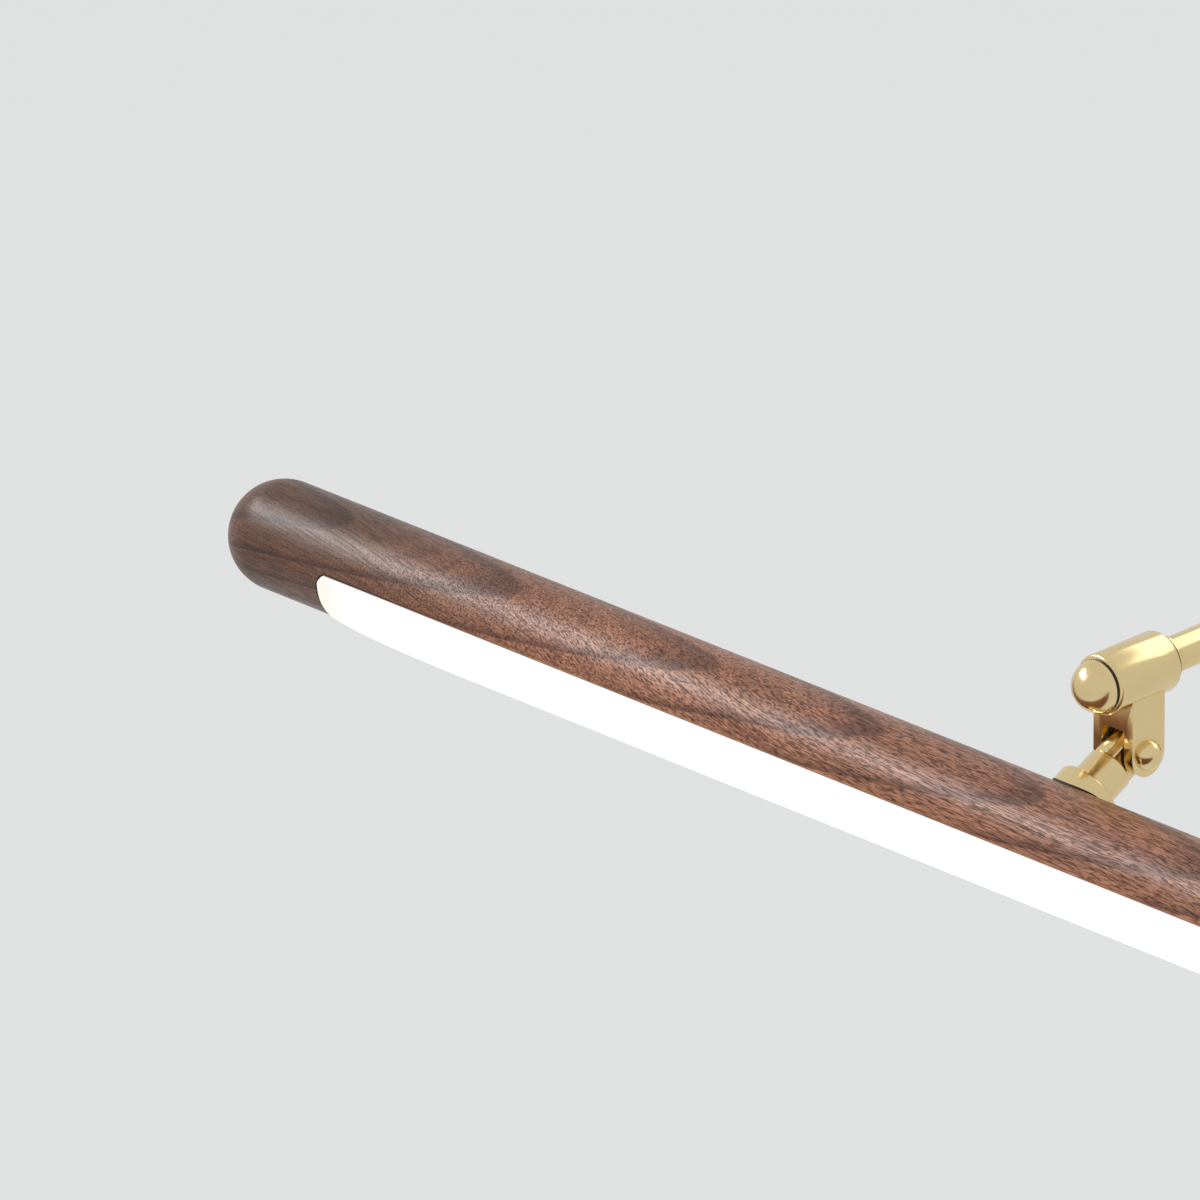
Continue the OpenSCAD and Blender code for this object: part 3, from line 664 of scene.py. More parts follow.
class Bench:
    """Hand tools for one piece at a time, each working on the active object."""

    @staticmethod
    def clear() -> None:
        """Deselect everything in object mode."""
        if bpy.context.mode != "OBJECT":
            bpy.ops.object.mode_set(mode="OBJECT")
        bpy.ops.object.select_all(action="DESELECT")

    @staticmethod
    def take(name: str) -> Piece:
        """Name the primitive that was just added.

        Args:
            name: Name of the piece.

        Returns:
            The piece.
        """
        piece = bpy.context.active_object
        piece.name = name
        piece.data.name = name
        return piece

    @staticmethod
    def pick(piece: Piece, test: Callable[[Vector], bool]) -> None:
        """Select the vertices that pass a test, and go into edit mode.

        Args:
            piece: Active piece.
            test: Says whether a vertex at this place is taken.
        """
        bpy.ops.object.mode_set(mode="EDIT")
        bpy.ops.mesh.select_mode(type="VERT")
        bpy.ops.mesh.select_all(action="DESELECT")
        bpy.ops.object.mode_set(mode="OBJECT")
        for vertex in piece.data.vertices:
            vertex.select = test(vertex.co)
        bpy.ops.object.mode_set(mode="EDIT")

    @staticmethod
    def modify(piece: Piece, kind: str, **settings: Any) -> None:
        """Add a modifier to the active piece and apply it.

        Args:
            piece: Active piece.
            kind: Type of the modifier.
            **settings: Properties of the modifier.
        """
        bpy.ops.object.modifier_add(type=kind)
        modifier = piece.modifiers[-1]
        for key, value in settings.items():
            setattr(modifier, key, value)
        bpy.ops.object.modifier_apply(modifier=modifier.name)

    @classmethod
    def carve(cls, piece: Piece, tool: Piece, operation: str = "DIFFERENCE") -> None:
        """Cut a piece by a tool, join the tool to it or keep what both share, and throw the tool away.

        Args:
            piece: Piece to cut.
            tool: Closed mesh that cuts it.
            operation: Type of the cut.
        """
        cls.activate(piece)
        cls.modify(piece, "BOOLEAN", operation=operation, object=tool, solver="EXACT")
        bpy.data.objects.remove(tool)

    @classmethod
    def activate(cls, piece: Piece) -> None:
        """Select a piece alone and make it active.

        Args:
            piece: Piece to select.
        """
        cls.clear()
        piece.select_set(True)
        bpy.context.view_layer.objects.active = piece

    @classmethod
    def settle(cls, piece: Piece, place: Matrix) -> Piece:
        """Put a finished piece in its place, with the place in its mesh, and smooth it.

        Args:
            piece: Piece drawn about its own origin.
            place: Where it goes.

        Returns:
            The piece.
        """
        cls.activate(piece)
        piece.matrix_world = place @ piece.matrix_world
        bpy.ops.object.transform_apply(location=True, rotation=True, scale=True)
        bpy.ops.object.shade_smooth_by_angle(angle=SMOOTH_ANGLE)
        return piece

    @classmethod
    def turned(cls, name: str, profile: Sequence[Ring], segments: int = SIDES, edge: float = 0.0) -> Piece:
        """Turn a profile about Z, ring by ring.

        Args:
            name: Name of the piece.
            profile: Its rings. A profile that ends on its first ring is bored through.
            segments: Sides of each ring.
            edge: Width that its sharp edges are rounded by, if they are.

        Returns:
            A closed mesh about the origin.
        """
        cls.clear()
        radius, height = profile[0]
        bpy.ops.mesh.primitive_circle_add(vertices=segments, radius=radius)
        piece = cls.take(name)
        bpy.ops.object.mode_set(mode="EDIT")
        bpy.ops.mesh.select_all(action="SELECT")
        bpy.ops.transform.translate(value=(0, 0, height))
        for next_radius, next_height in profile[1:]:
            bpy.ops.mesh.extrude_region_move(TRANSFORM_OT_translate={"value": (0, 0, next_height - height)})
            grow = next_radius / radius
            bpy.ops.transform.resize(value=(grow, grow, 1))
            radius, height = next_radius, next_height
        bpy.ops.mesh.select_all(action="SELECT")
        bpy.ops.mesh.remove_doubles(threshold=NEAR / 10)
        if profile[0] != profile[-1]:
            cls.cap()
        cls.face_out()
        if edge:
            cls.soften(piece, edge)
        return piece

    @classmethod
    def rod(cls, name: str, radius: float, low: float, high: float, axis: Axis, at: Point = (0, 0, 0),
            sides: int = SIDES) -> Piece:
        """Return a cylinder.

        Args:
            name: Name of the piece.
            radius: Radius of the cylinder.
            low: Where it starts along its axis.
            high: Where it ends along its axis.
            axis: Axis that it lies on.
            at: Point that the axis passes through, from which low and high are measured.
            sides: Sides of the cylinder.

        Returns:
            A closed mesh.
        """
        cls.clear()
        bpy.ops.mesh.primitive_cylinder_add(vertices=sides, radius=radius, depth=high - low)
        middle = Matrix.Translation((0, 0, (low + high) / 2))
        return cls.settle(cls.take(name), Matrix.Translation(at) @ axis.value @ middle)

    @classmethod
    def drill(cls, piece: Piece, radius: float, low: float, high: float, axis: Axis,
              at: Point = (0, 0, 0)) -> None:
        """Bore a piece for a rod of these sizes, with a clearance round it."""
        cls.carve(piece, cls.rod("drill", radius + GAP, low, high, axis, at))

    @classmethod
    def box(cls, name: str, half: Point, at: Point) -> Piece:
        """Return a box.

        Args:
            name: Name of the piece.
            half: Half its size along each axis.
            at: Its centre.

        Returns:
            A closed mesh.
        """
        cls.clear()
        bpy.ops.mesh.primitive_cube_add(size=2, scale=half, location=at)
        return cls.take(name)

    @classmethod
    def eye(cls, name: str, radius: float, low: float, high: float, axis: Axis, at: Point,
            foot: Point) -> Piece:
        """Return a plate with one round end, as of a hinge.

        Args:
            name: Name of the piece.
            radius: Radius of the round end.
            low: Where the plate starts along the axis.
            high: Where it ends along the axis.
            axis: Axis of the round end.
            at: Centre of the round end.
            foot: Way from there to the square end.

        Returns:
            A closed mesh.
        """
        plate = cls.rod(name, radius, low, high, axis, at)
        centre = Vector(at)
        way = Vector(foot).normalized()
        cls.pick(plate, lambda co: (co - centre).dot(way) > NEAR)
        bpy.ops.transform.resize(value=[1 - abs(part) for part in way], center_override=centre)
        bpy.ops.transform.translate(value=foot)
        bpy.ops.object.mode_set(mode="OBJECT")
        return plate

    @classmethod
    def soften(cls, piece: Piece, width: float) -> None:
        """Round the sharp edges of a piece."""
        cls.activate(piece)
        cls.modify(piece, "BEVEL", width=width, segments=3, limit_method="ANGLE", angle_limit=SHARP_ANGLE)

    @classmethod
    def twin(cls, piece: Piece, place: Matrix) -> None:
        """Add a copy of a piece to its own mesh.

        Args:
            piece: Finished piece.
            place: Where the copy goes, from the piece's own place.
        """
        cls.activate(piece)
        bpy.ops.object.duplicate()
        copy = bpy.context.active_object
        copy.matrix_world = place @ copy.matrix_world
        bpy.ops.object.transform_apply(location=True, rotation=True, scale=True)
        cls.activate(piece)
        copy.select_set(True)
        bpy.ops.object.join()

    @staticmethod
    def cap() -> None:
        """Close the open ends of the mesh in edit mode."""
        bpy.ops.mesh.select_all(action="DESELECT")
        bpy.ops.mesh.select_non_manifold()
        bpy.ops.mesh.fill_holes(sides=0)

    @staticmethod
    def face_out() -> None:
        """Turn all faces of the mesh in edit mode outwards, and leave edit mode."""
        bpy.ops.mesh.select_all(action="SELECT")
        bpy.ops.mesh.normals_make_consistent(inside=False)
        bpy.ops.object.mode_set(mode="OBJECT")


def quarter(steps: int) -> list[float]:
    """Return the angles of a quarter turn in equal steps."""
    return [math.pi / 2 * step / steps for step in range(steps + 1)]


def dome(radius: float, height: float, foot: float, steps: int = 14) -> list[Ring]:
    """Return the profile of a domed head, from its rim to its tip.

    Args:
        radius: Radius of the rim.
        height: Height of the dome.
        foot: Height of the rim.
        steps: Steps from the rim to the tip.

    Returns:
        The profile's rings.
    """
    ball = (radius ** 2 + height ** 2) / (2 * height)
    full = math.asin(radius / ball)
    turns = [full * (1 - step / steps) for step in range(steps + 1)]
    return [(max(ball * math.sin(turn), TIP), foot + height + ball * (math.cos(turn) - 1))
            for turn in turns]


def domed_nut(radius: float, height: float, foot: float, bore: float, deep: float) -> list[Ring]:
    """Return the profile of a domed nut for a rod of the bore's radius, which goes so deep into it."""
    roof = foot + deep + GAP
    return [(TIP, roof), (bore + GAP, roof), (bore + GAP, foot)] + dome(radius, height, foot)


@dataclass(frozen=True)
class PinSet:
    """A hinge pin with a domed head and its domed nut, each drawn along Z about the hinge's middle."""

    radius: float
    grip: float
    thread: float
    head_radius: float
    head_height: float
    nut_height: float
    key_radius: float
    key_depth: float

    def pin(self, name: str) -> Piece:
        """Return the pin, with a hexagon socket in its head.

        Args:
            name: Name of the piece.

        Returns:
            A closed mesh.
        """
        top = self.grip + self.head_height
        shank = [(self.radius, -self.grip - self.thread), (self.radius, self.grip)]
        pin = Bench.turned(name, shank + dome(self.head_radius, self.head_height, self.grip))
        key = Bench.rod("hexagon", self.key_radius, top - self.key_depth, top + PAST, Axis.Z, sides=6)
        Bench.carve(pin, key)
        return pin

    def nut(self, name: str) -> Piece:
        """Return the nut, drawn with its dome up."""
        profile = domed_nut(self.head_radius, self.nut_height, self.grip, self.radius, self.thread)
        return Bench.turned(name, profile)


@dataclass
class Assembly:
    """Pieces that move as one body and are drawn in one frame."""

    palette: Palette

    body: ClassVar[Body]
    place: ClassVar[Matrix] = OUT

    def fit(self, piece: Piece, node: str) -> None:
        """Put a finished piece in the place of a CAD node, and dress it from the node's slot.

        Args:
            piece: Piece drawn in the assembly's frame.
            node: Node that it replaces.
        """
        slot = NODE_SLOTS[node]
        Bench.settle(piece, self.place)
        self.palette.dress(piece, slot)
        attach(piece, self.body.value)
        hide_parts(node)
        log.info("%s: %d faces", piece.name, len(piece.data.polygons))


@dataclass
class LightBar(Assembly):
    """The walnut bar and the diffuser let into it, drawn in the bar's frame."""

    body: ClassVar[Body] = Body.LIGHT_BAR
    place: ClassVar[Matrix] = LAMP.bar

    diffuser_proud: float = 5 * MM
    diffuser_top_gap: float = 0.3 * MM
    diffuser_sides: int = 128
    corner_steps: int = 16
    slot_depth: float = 17 * MM
    swell: float = 170 * MM
    swell_steps: int = 40
    ball_sides: int = 160

    def __post_init__(self) -> None:
        """Work out where the slot's roof is."""
        self.roof = self.slot_depth - LAMP.bar_radius

    def build(self) -> None:
        """Model and fit the pieces."""
        self.fit(self.wood(), "walnut_bar")
        self.fit(self.diffuser(), "diffuser")

    def wood(self) -> Piece:
        """Model the ball-ended bar with its slot.

        Returns:
            The bar.
        """
        steps = self.ball_sides // 2
        ball_at = LAMP.bar_length / 2 - LAMP.bar_radius
        Bench.clear()
        bpy.ops.mesh.primitive_uv_sphere_add(segments=self.ball_sides, ring_count=steps,
                                             radius=LAMP.bar_radius, rotation=(0, math.pi / 2, 0))
        bar = Bench.take("turned_walnut_bar")
        bpy.ops.object.transform_apply(rotation=True)
        Bench.pick(bar, lambda co: co.x < -NEAR)
        bpy.ops.mesh.delete(type="VERT")
        bpy.ops.mesh.select_all(action="SELECT")
        bpy.ops.transform.translate(value=(ball_at, 0, 0))
        bpy.ops.mesh.select_all(action="DESELECT")
        bpy.ops.mesh.select_non_manifold()
        for _ in range(steps):
            bpy.ops.mesh.extrude_region_move(TRANSFORM_OT_translate={"value": (-ball_at / steps, 0, 0)})
        bpy.ops.object.mode_set(mode="OBJECT")
        Bench.modify(bar, "MIRROR", use_axis=(True, False, False), merge_threshold=NEAR)
        bpy.ops.object.mode_set(mode="EDIT")
        Bench.face_out()
        below = -LAMP.bar_radius - 2 * PAST
        Bench.carve(bar, self.plan("slot_cutter", LAMP.end_gap, LAMP.side_gap, below, self.roof))
        return bar

    def plan(self, name: str, end_gap: float, side_gap: float, low: float, high: float) -> Piece:
        """Return the diffuser's plan, a long plate with round corners.

        Args:
            name: Name of the piece.
            end_gap: Growth at each end.
            side_gap: Growth at each side.
            low: Height of its underside.
            high: Height of its top.

        Returns:
            A closed mesh.
        """
        half = (LAMP.diffuser_half + end_gap, LAMP.diffuser_radius + side_gap, (high - low) / 2)
        plate = Bench.box(name, half, (0, 0, (low + high) / 2))
        bpy.ops.object.transform_apply(location=True, scale=True)
        bpy.ops.object.mode_set(mode="EDIT")
        bpy.ops.mesh.select_mode(type="EDGE")
        bpy.ops.mesh.select_all(action="DESELECT")
        bpy.ops.object.mode_set(mode="OBJECT")
        corners = plate.data.vertices
        for edge in plate.data.edges:
            first, second = (corners[index].co for index in edge.vertices)
            edge.select = abs(first.z - second.z) > NEAR
        bpy.ops.object.mode_set(mode="EDIT")
        corner = LAMP.diffuser_corner + side_gap
        bpy.ops.mesh.bevel(offset=corner, segments=self.corner_steps, affect="EDGES")
        Bench.face_out()
        return plate

    def belly(self) -> Piece:
        """Model the body of revolution about the bar's axis that rounds off the diffuser's ends.

        Returns:
            A closed mesh.
        """
        rise = [(LAMP.bar_radius + self.diffuser_proud * math.sin(turn),
                 LAMP.diffuser_half - self.swell * (1 - math.cos(turn)))
                for turn in quarter(self.swell_steps)]
        profile = rise + [(radius, -along) for radius, along in reversed(rise)]
        return Bench.settle(Bench.turned("belly", profile, MANY_SIDES), Axis.X.value)

    def diffuser(self) -> Piece:
        """Model the diffuser: straight sides, round corners, and a belly that swells from the ends.

        Returns:
            The diffuser.
        """
        axis = LAMP.bar_radius + self.diffuser_proud - LAMP.diffuser_radius
        Bench.clear()
        bpy.ops.mesh.primitive_cylinder_add(vertices=self.diffuser_sides, radius=LAMP.diffuser_radius,
                                            depth=2 * LAMP.diffuser_half, rotation=(0, math.pi / 2, 0),
                                            location=(0, 0, -axis))
        tube = Bench.take("opal_diffuser")
        bpy.ops.object.transform_apply(location=True, rotation=True)
        Bench.pick(tube, lambda co: co.z > -axis + NEAR)
        bpy.ops.transform.translate(value=(0, 0, axis + LAMP.bar_radius))
        bpy.ops.object.mode_set(mode="OBJECT")
        top = self.roof - self.diffuser_top_gap
        Bench.carve(tube, self.plan("plan", 0.0, 0.0, -2 * LAMP.bar_radius, top), "INTERSECT")
        Bench.carve(tube, self.belly(), "INTERSECT")
        return tube


@dataclass
class BarNeck(Assembly):
    """The brass neck that saddles the bar, with the black gasket under it, drawn in the bar's frame."""

    body: ClassVar[Body] = Body.LIGHT_BAR
    place: ClassVar[Matrix] = LAMP.bar

    gasket: float = 0.8 * MM
    flange_radius: float = 12 * MM
    flange_top: float = 24.8 * MM
    flange_edge: float = 0.9 * MM
    stem_radius: float = 8.5 * MM
    stem_top: float = 36.8 * MM
    waist_radius: float = 8.1 * MM
    nipple_top: float = 35.3 * MM
    tongue: float = 9 * MM
    tongue_edge: float = 0.7 * MM
    saddle_sides: int = 256

    def build(self) -> None:
        """Model and fit the pieces."""
        self.fit(self.neck(), "neck")
        self.fit(self.pad(), "saddle_gasket")

    def across(self, radius: float) -> Piece:
        """Return a cutter along the bar's axis."""
        reach = 3 * self.flange_radius
        return Bench.rod("bar_cutter", radius, -reach, reach, Axis.X, sides=self.saddle_sides)

    def neck(self) -> Piece:
        """Model the turned neck with its flat tongue.

        Returns:
            The neck.
        """
        flange, stem = self.flange_radius, self.stem_radius
        neck = Bench.turned("turned_neck", ((flange, LAMP.bar_radius / 2), (flange, self.flange_top),
                                            (stem, self.flange_top), (stem, self.stem_top)),
                            edge=self.flange_edge)
        pin = (0, 0, LAMP.pin_height)
        foot = (0, 0, self.stem_top - LAMP.pin_height - 2 * PAST)
        half = self.tongue / 2
        tongue = Bench.eye("tongue", LAMP.tilt_eye, -half, half, Axis.X, pin, foot)
        waist = Bench.rod("waist", self.waist_radius, 0, 2 * LAMP.pin_height, Axis.Z)
        Bench.carve(tongue, waist, "INTERSECT")
        Bench.soften(tongue, self.tongue_edge)
        Bench.carve(neck, tongue, "UNION")
        Bench.carve(neck, self.across(LAMP.bar_radius + self.gasket + GAP))
        Bench.drill(neck, LAMP.nipple, 0, self.nipple_top, Axis.Z)
        Bench.drill(neck, LAMP.tilt_pin, -self.tongue, self.tongue, Axis.X, pin)
        return neck

    def pad(self) -> Piece:
        """Model the thin gasket, which lies on the wood like a saddle.

        Returns:
            The gasket.
        """
        pad = Bench.rod("saddle_pad", self.flange_radius, LAMP.bar_radius / 2, self.flange_top, Axis.Z)
        Bench.carve(pad, self.across(LAMP.bar_radius + self.gasket), "INTERSECT")
        Bench.carve(pad, self.across(LAMP.bar_radius + GAP))
        Bench.drill(pad, LAMP.nipple, 0, self.flange_top, Axis.Z)
        return pad


@dataclass
class Head(Assembly):
    """The hub on the arm's end and the fork that the bar tilts in, with its pin."""

    body: ClassVar[Body] = Body.HEAD

    hub_radius: float = 11 * MM
    hub_back: float = 227 * MM
    hub_front: float = 257 * MM
    hub_edge: float = 1.2 * MM
    fork_height: float = 22 * MM
    fork_gap: float = 5.3 * MM
    fork_root: float = 18 * MM
    fork_edge: float = 0.7 * MM
    pins: PinSet = PinSet(radius=LAMP.tilt_pin, grip=9.3 * MM, thread=3 * MM, head_radius=5.5 * MM,
                          head_height=3 * MM, nut_height=5 * MM, key_radius=2.3 * MM, key_depth=1.8 * MM)

    def __post_init__(self) -> None:
        """Work out where the tilt pin is."""
        self.pin_at = (0, -LAMP.drop, LAMP.reach)

    def build(self) -> None:
        """Model and fit the pieces."""
        at = Matrix.Translation(self.pin_at)
        self.fit(self.hub(), "head_hub")
        self.fit(Bench.settle(self.pins.pin("socket_tilt_pin"), at @ Axis.LEFT.value), "tilt_pin")
        self.fit(Bench.settle(self.pins.nut("domed_tilt_nut"), at @ Axis.X.value), "tilt_nut")

    def hub(self) -> Piece:
        """Model the hub with its fork.

        Returns:
            The hub.
        """
        ends = [(self.hub_radius, height) for height in (self.hub_back, self.hub_front)]
        hub = Bench.turned("hub_and_fork", ends, edge=self.hub_edge)
        half = self.pins.grip
        fork = Bench.eye("fork", LAMP.tilt_eye, -half, half, Axis.X, self.pin_at, (0, self.fork_height, 0))
        low = -LAMP.drop - 2 * LAMP.tilt_eye
        room = (self.fork_gap, (-self.fork_root - low) / 2, 2 * LAMP.tilt_eye)
        Bench.carve(fork, Bench.box("fork_cutter", room, (0, low + room[1], LAMP.reach)))
        Bench.soften(fork, self.fork_edge)
        Bench.carve(hub, fork, "UNION")
        Bench.drill(hub, LAMP.journal, self.hub_back - half, self.hub_front + half, Axis.Z)
        Bench.drill(hub, LAMP.tilt_pin, -2 * half, 2 * half, Axis.X, self.pin_at)
        return hub


@dataclass
class SwingArm(Assembly):
    """The arm: its eye on the swing pin, the tube, and the spindle that the head turns on."""

    body: ClassVar[Body] = Body.ARM

    eye_half: float = 8 * MM
    eye_edge: float = 0.8 * MM
    boss_radius: float = 7.7 * MM
    boss_end: float = 86 * MM
    boss_edge: float = 1 * MM
    tube_radius: float = 6.5 * MM
    tube_bore: float = 5.3 * MM
    tube_start: float = 68 * MM
    tube_end: float = 223 * MM
    plug: float = 20 * MM
    collar_radius: float = 8 * MM
    collar: float = 3 * MM
    journal_end: float = 264 * MM
    lead_bore: float = 2.4 * MM
    spindle_edge: float = 0.5 * MM
    cap_radius: float = 9.5 * MM
    cap_start: float = 258 * MM
    cap_height: float = 9 * MM

    def build(self) -> None:
        """Model and fit the pieces."""
        self.fit(self.eye(), "arm_eye")
        self.fit(self.tube(), "arm_tube")
        self.fit(self.spindle(), "arm_spindle")
        cap = domed_nut(self.cap_radius, self.cap_height, self.cap_start, LAMP.journal,
                        self.journal_end - self.cap_start)
        self.fit(Bench.turned("domed_spindle_cap", cap), "spindle_cap")

    def eye(self) -> Piece:
        """Model the swing eye with the boss that holds the tube.

        Returns:
            The eye.
        """
        centre = (0, 0, LAMP.swing_out)
        eye = Bench.rod("swing_eye", LAMP.swing_eye, -self.eye_half, self.eye_half, Axis.Y, centre)
        Bench.soften(eye, self.eye_edge)
        ends = [(self.boss_radius, height) for height in (LAMP.swing_out, self.boss_end)]
        Bench.carve(eye, Bench.turned("boss", ends, edge=self.boss_edge), "UNION")
        reach = 2 * self.eye_half
        Bench.drill(eye, LAMP.swing_pin, -reach, reach, Axis.Y, centre)
        Bench.drill(eye, self.tube_radius, self.tube_start, self.boss_end + reach, Axis.Z)
        return eye

    def tube(self) -> Piece:
        """Model the tube.

        Returns:
            The tube.
        """
        outside = [(self.tube_radius, self.tube_start), (self.tube_radius, self.tube_end)]
        inside = [(self.tube_bore, self.tube_end), (self.tube_bore, self.tube_start)]
        return Bench.turned("drawn_arm_tube", outside + inside + outside[:1])

    def spindle(self) -> Piece:
        """Model the spindle: a plug in the tube, a collar and the head's journal, bored for the lead.

        Returns:
            The spindle.
        """
        plug_radius = self.tube_bore - GAP
        plug_start = self.tube_end - self.plug
        collar_end = self.tube_end + self.collar
        return Bench.turned("collared_spindle", (
            (plug_radius, plug_start), (plug_radius, self.tube_end),
            (self.collar_radius, self.tube_end), (self.collar_radius, collar_end),
            (LAMP.journal, collar_end), (LAMP.journal, self.journal_end),
            (self.lead_bore, self.journal_end), (self.lead_bore, plug_start),
            (plug_radius, plug_start)), edge=self.spindle_edge)


@dataclass
class WallBase(Assembly):
    """The canopy on the wall with its screws, and the swing yoke with its pin."""

    body: ClassVar[Body] = Body.WALL_BASE

    canopy_radius: float = 55 * MM
    canopy_round: float = 6 * MM
    canopy_edge: float = 0.3 * MM
    round_steps: int = 12
    yoke_radius: float = 18 * MM
    yoke_front: float = 37 * MM
    yoke_roof: float = 2 * MM
    yoke_edge: float = 1 * MM
    lug_low: float = 9.1 * MM
    lug_edge: float = 0.8 * MM
    pins: PinSet = PinSet(radius=LAMP.swing_pin, grip=14.1 * MM, thread=3 * MM, head_radius=7.5 * MM,
                          head_height=4 * MM, nut_height=6 * MM, key_radius=2.9 * MM, key_depth=2.2 * MM)
    screw_out: float = 8 * MM
    screw_radius: float = 1.5 * MM
    screw_head: float = 3 * MM
    screw_dome: float = 2 * MM
    screw_length: float = 6.5 * MM
    screw_sides: int = 48
    slot_width: float = 0.9 * MM
    slot_height: float = 1.2 * MM
    slot_sunk: float = 0.2 * MM

    def build(self) -> None:
        """Model and fit the pieces."""
        at = Matrix.Translation((0, 0, LAMP.swing_out))
        self.fit(self.canopy(), "canopy")
        self.fit(self.yoke(), "swing_yoke")
        self.fit(Bench.settle(self.pins.pin("socket_swing_pin"), at @ Axis.Y.value), "swing_pin")
        self.fit(Bench.settle(self.pins.nut("domed_swing_nut"), at @ Axis.DOWN.value), "swing_cap_nut")
        self.fit(self.screws(), "canopy_screws")

    def shell(self, inset: float) -> list[Ring]:
        """Return the canopy's profile from its bore to the wall.

        Args:
            inset: How far inside the canopy's outside it runs.

        Returns:
            The profile's rings.
        """
        radius = self.canopy_round - inset
        middle = self.canopy_radius - self.canopy_round
        shoulder = LAMP.canopy_depth - self.canopy_round
        rounded = [(middle + radius * math.sin(turn), shoulder + radius * math.cos(turn))
                   for turn in quarter(self.round_steps)]
        bore = (LAMP.nipple + GAP, LAMP.canopy_depth - inset)
        return [bore] + rounded + [(self.canopy_radius - inset, 0.0)]

    def canopy(self) -> Piece:
        """Model the spun canopy, with the hole for the switch.

        Returns:
            The canopy.
        """
        outside = self.shell(0.0)
        profile = outside + list(reversed(self.shell(LAMP.canopy_wall))) + outside[:1]
        canopy = Bench.turned("spun_canopy", profile, MANY_SIDES, self.canopy_edge)
        Bench.drill(canopy, LAMP.bush_radius, LAMP.canopy_depth - self.canopy_round, LAMP.bush_front,
                    Axis.Z, (0, -LAMP.switch_drop, 0))
        return canopy

    def yoke(self) -> Piece:
        """Model the swing yoke: a base disc and two lugs.

        Returns:
            The yoke.
        """
        bore = LAMP.nipple + GAP
        bore_end = self.yoke_front - self.yoke_roof
        yoke = Bench.turned("swing_yoke_body", ((bore, bore_end), (bore, LAMP.canopy_depth),
                                                (self.yoke_radius, LAMP.canopy_depth),
                                                (self.yoke_radius, self.yoke_front)), edge=self.yoke_edge)
        centre = (0, 0, LAMP.swing_out)
        foot = (0, 0, self.yoke_front - LAMP.swing_out - 2 * PAST)
        lug_high = self.pins.grip
        for low, high in ((self.lug_low, lug_high), (-lug_high, -self.lug_low)):
            lug = Bench.eye("lug", LAMP.swing_eye, low, high, Axis.Y, centre, foot)
            Bench.soften(lug, self.lug_edge)
            Bench.carve(yoke, lug, "UNION")
        Bench.drill(yoke, LAMP.swing_pin, -2 * lug_high, 2 * lug_high, Axis.Y, centre)
        return yoke

    def screws(self) -> Piece:
        """Model the two slotted screws at the canopy's sides.

        Returns:
            Both screws in one mesh.
        """
        shank = [(self.screw_radius, -self.screw_length), (self.screw_radius, 0.0)]
        head = dome(self.screw_head, self.screw_dome, 0.0)
        screw = Bench.turned("slotted_canopy_screws", shank + head, self.screw_sides)
        room = (self.slot_width / 2, 2 * self.screw_head, self.slot_height / 2)
        Bench.carve(screw, Bench.box("slot_cutter", room, (0, 0, self.screw_dome - self.slot_sunk)))
        Bench.settle(screw, Matrix.Translation((self.canopy_radius, 0, self.screw_out)) @ Axis.X.value)
        Bench.twin(screw, Matrix.Rotation(math.pi, 4, "Z"))
        return screw


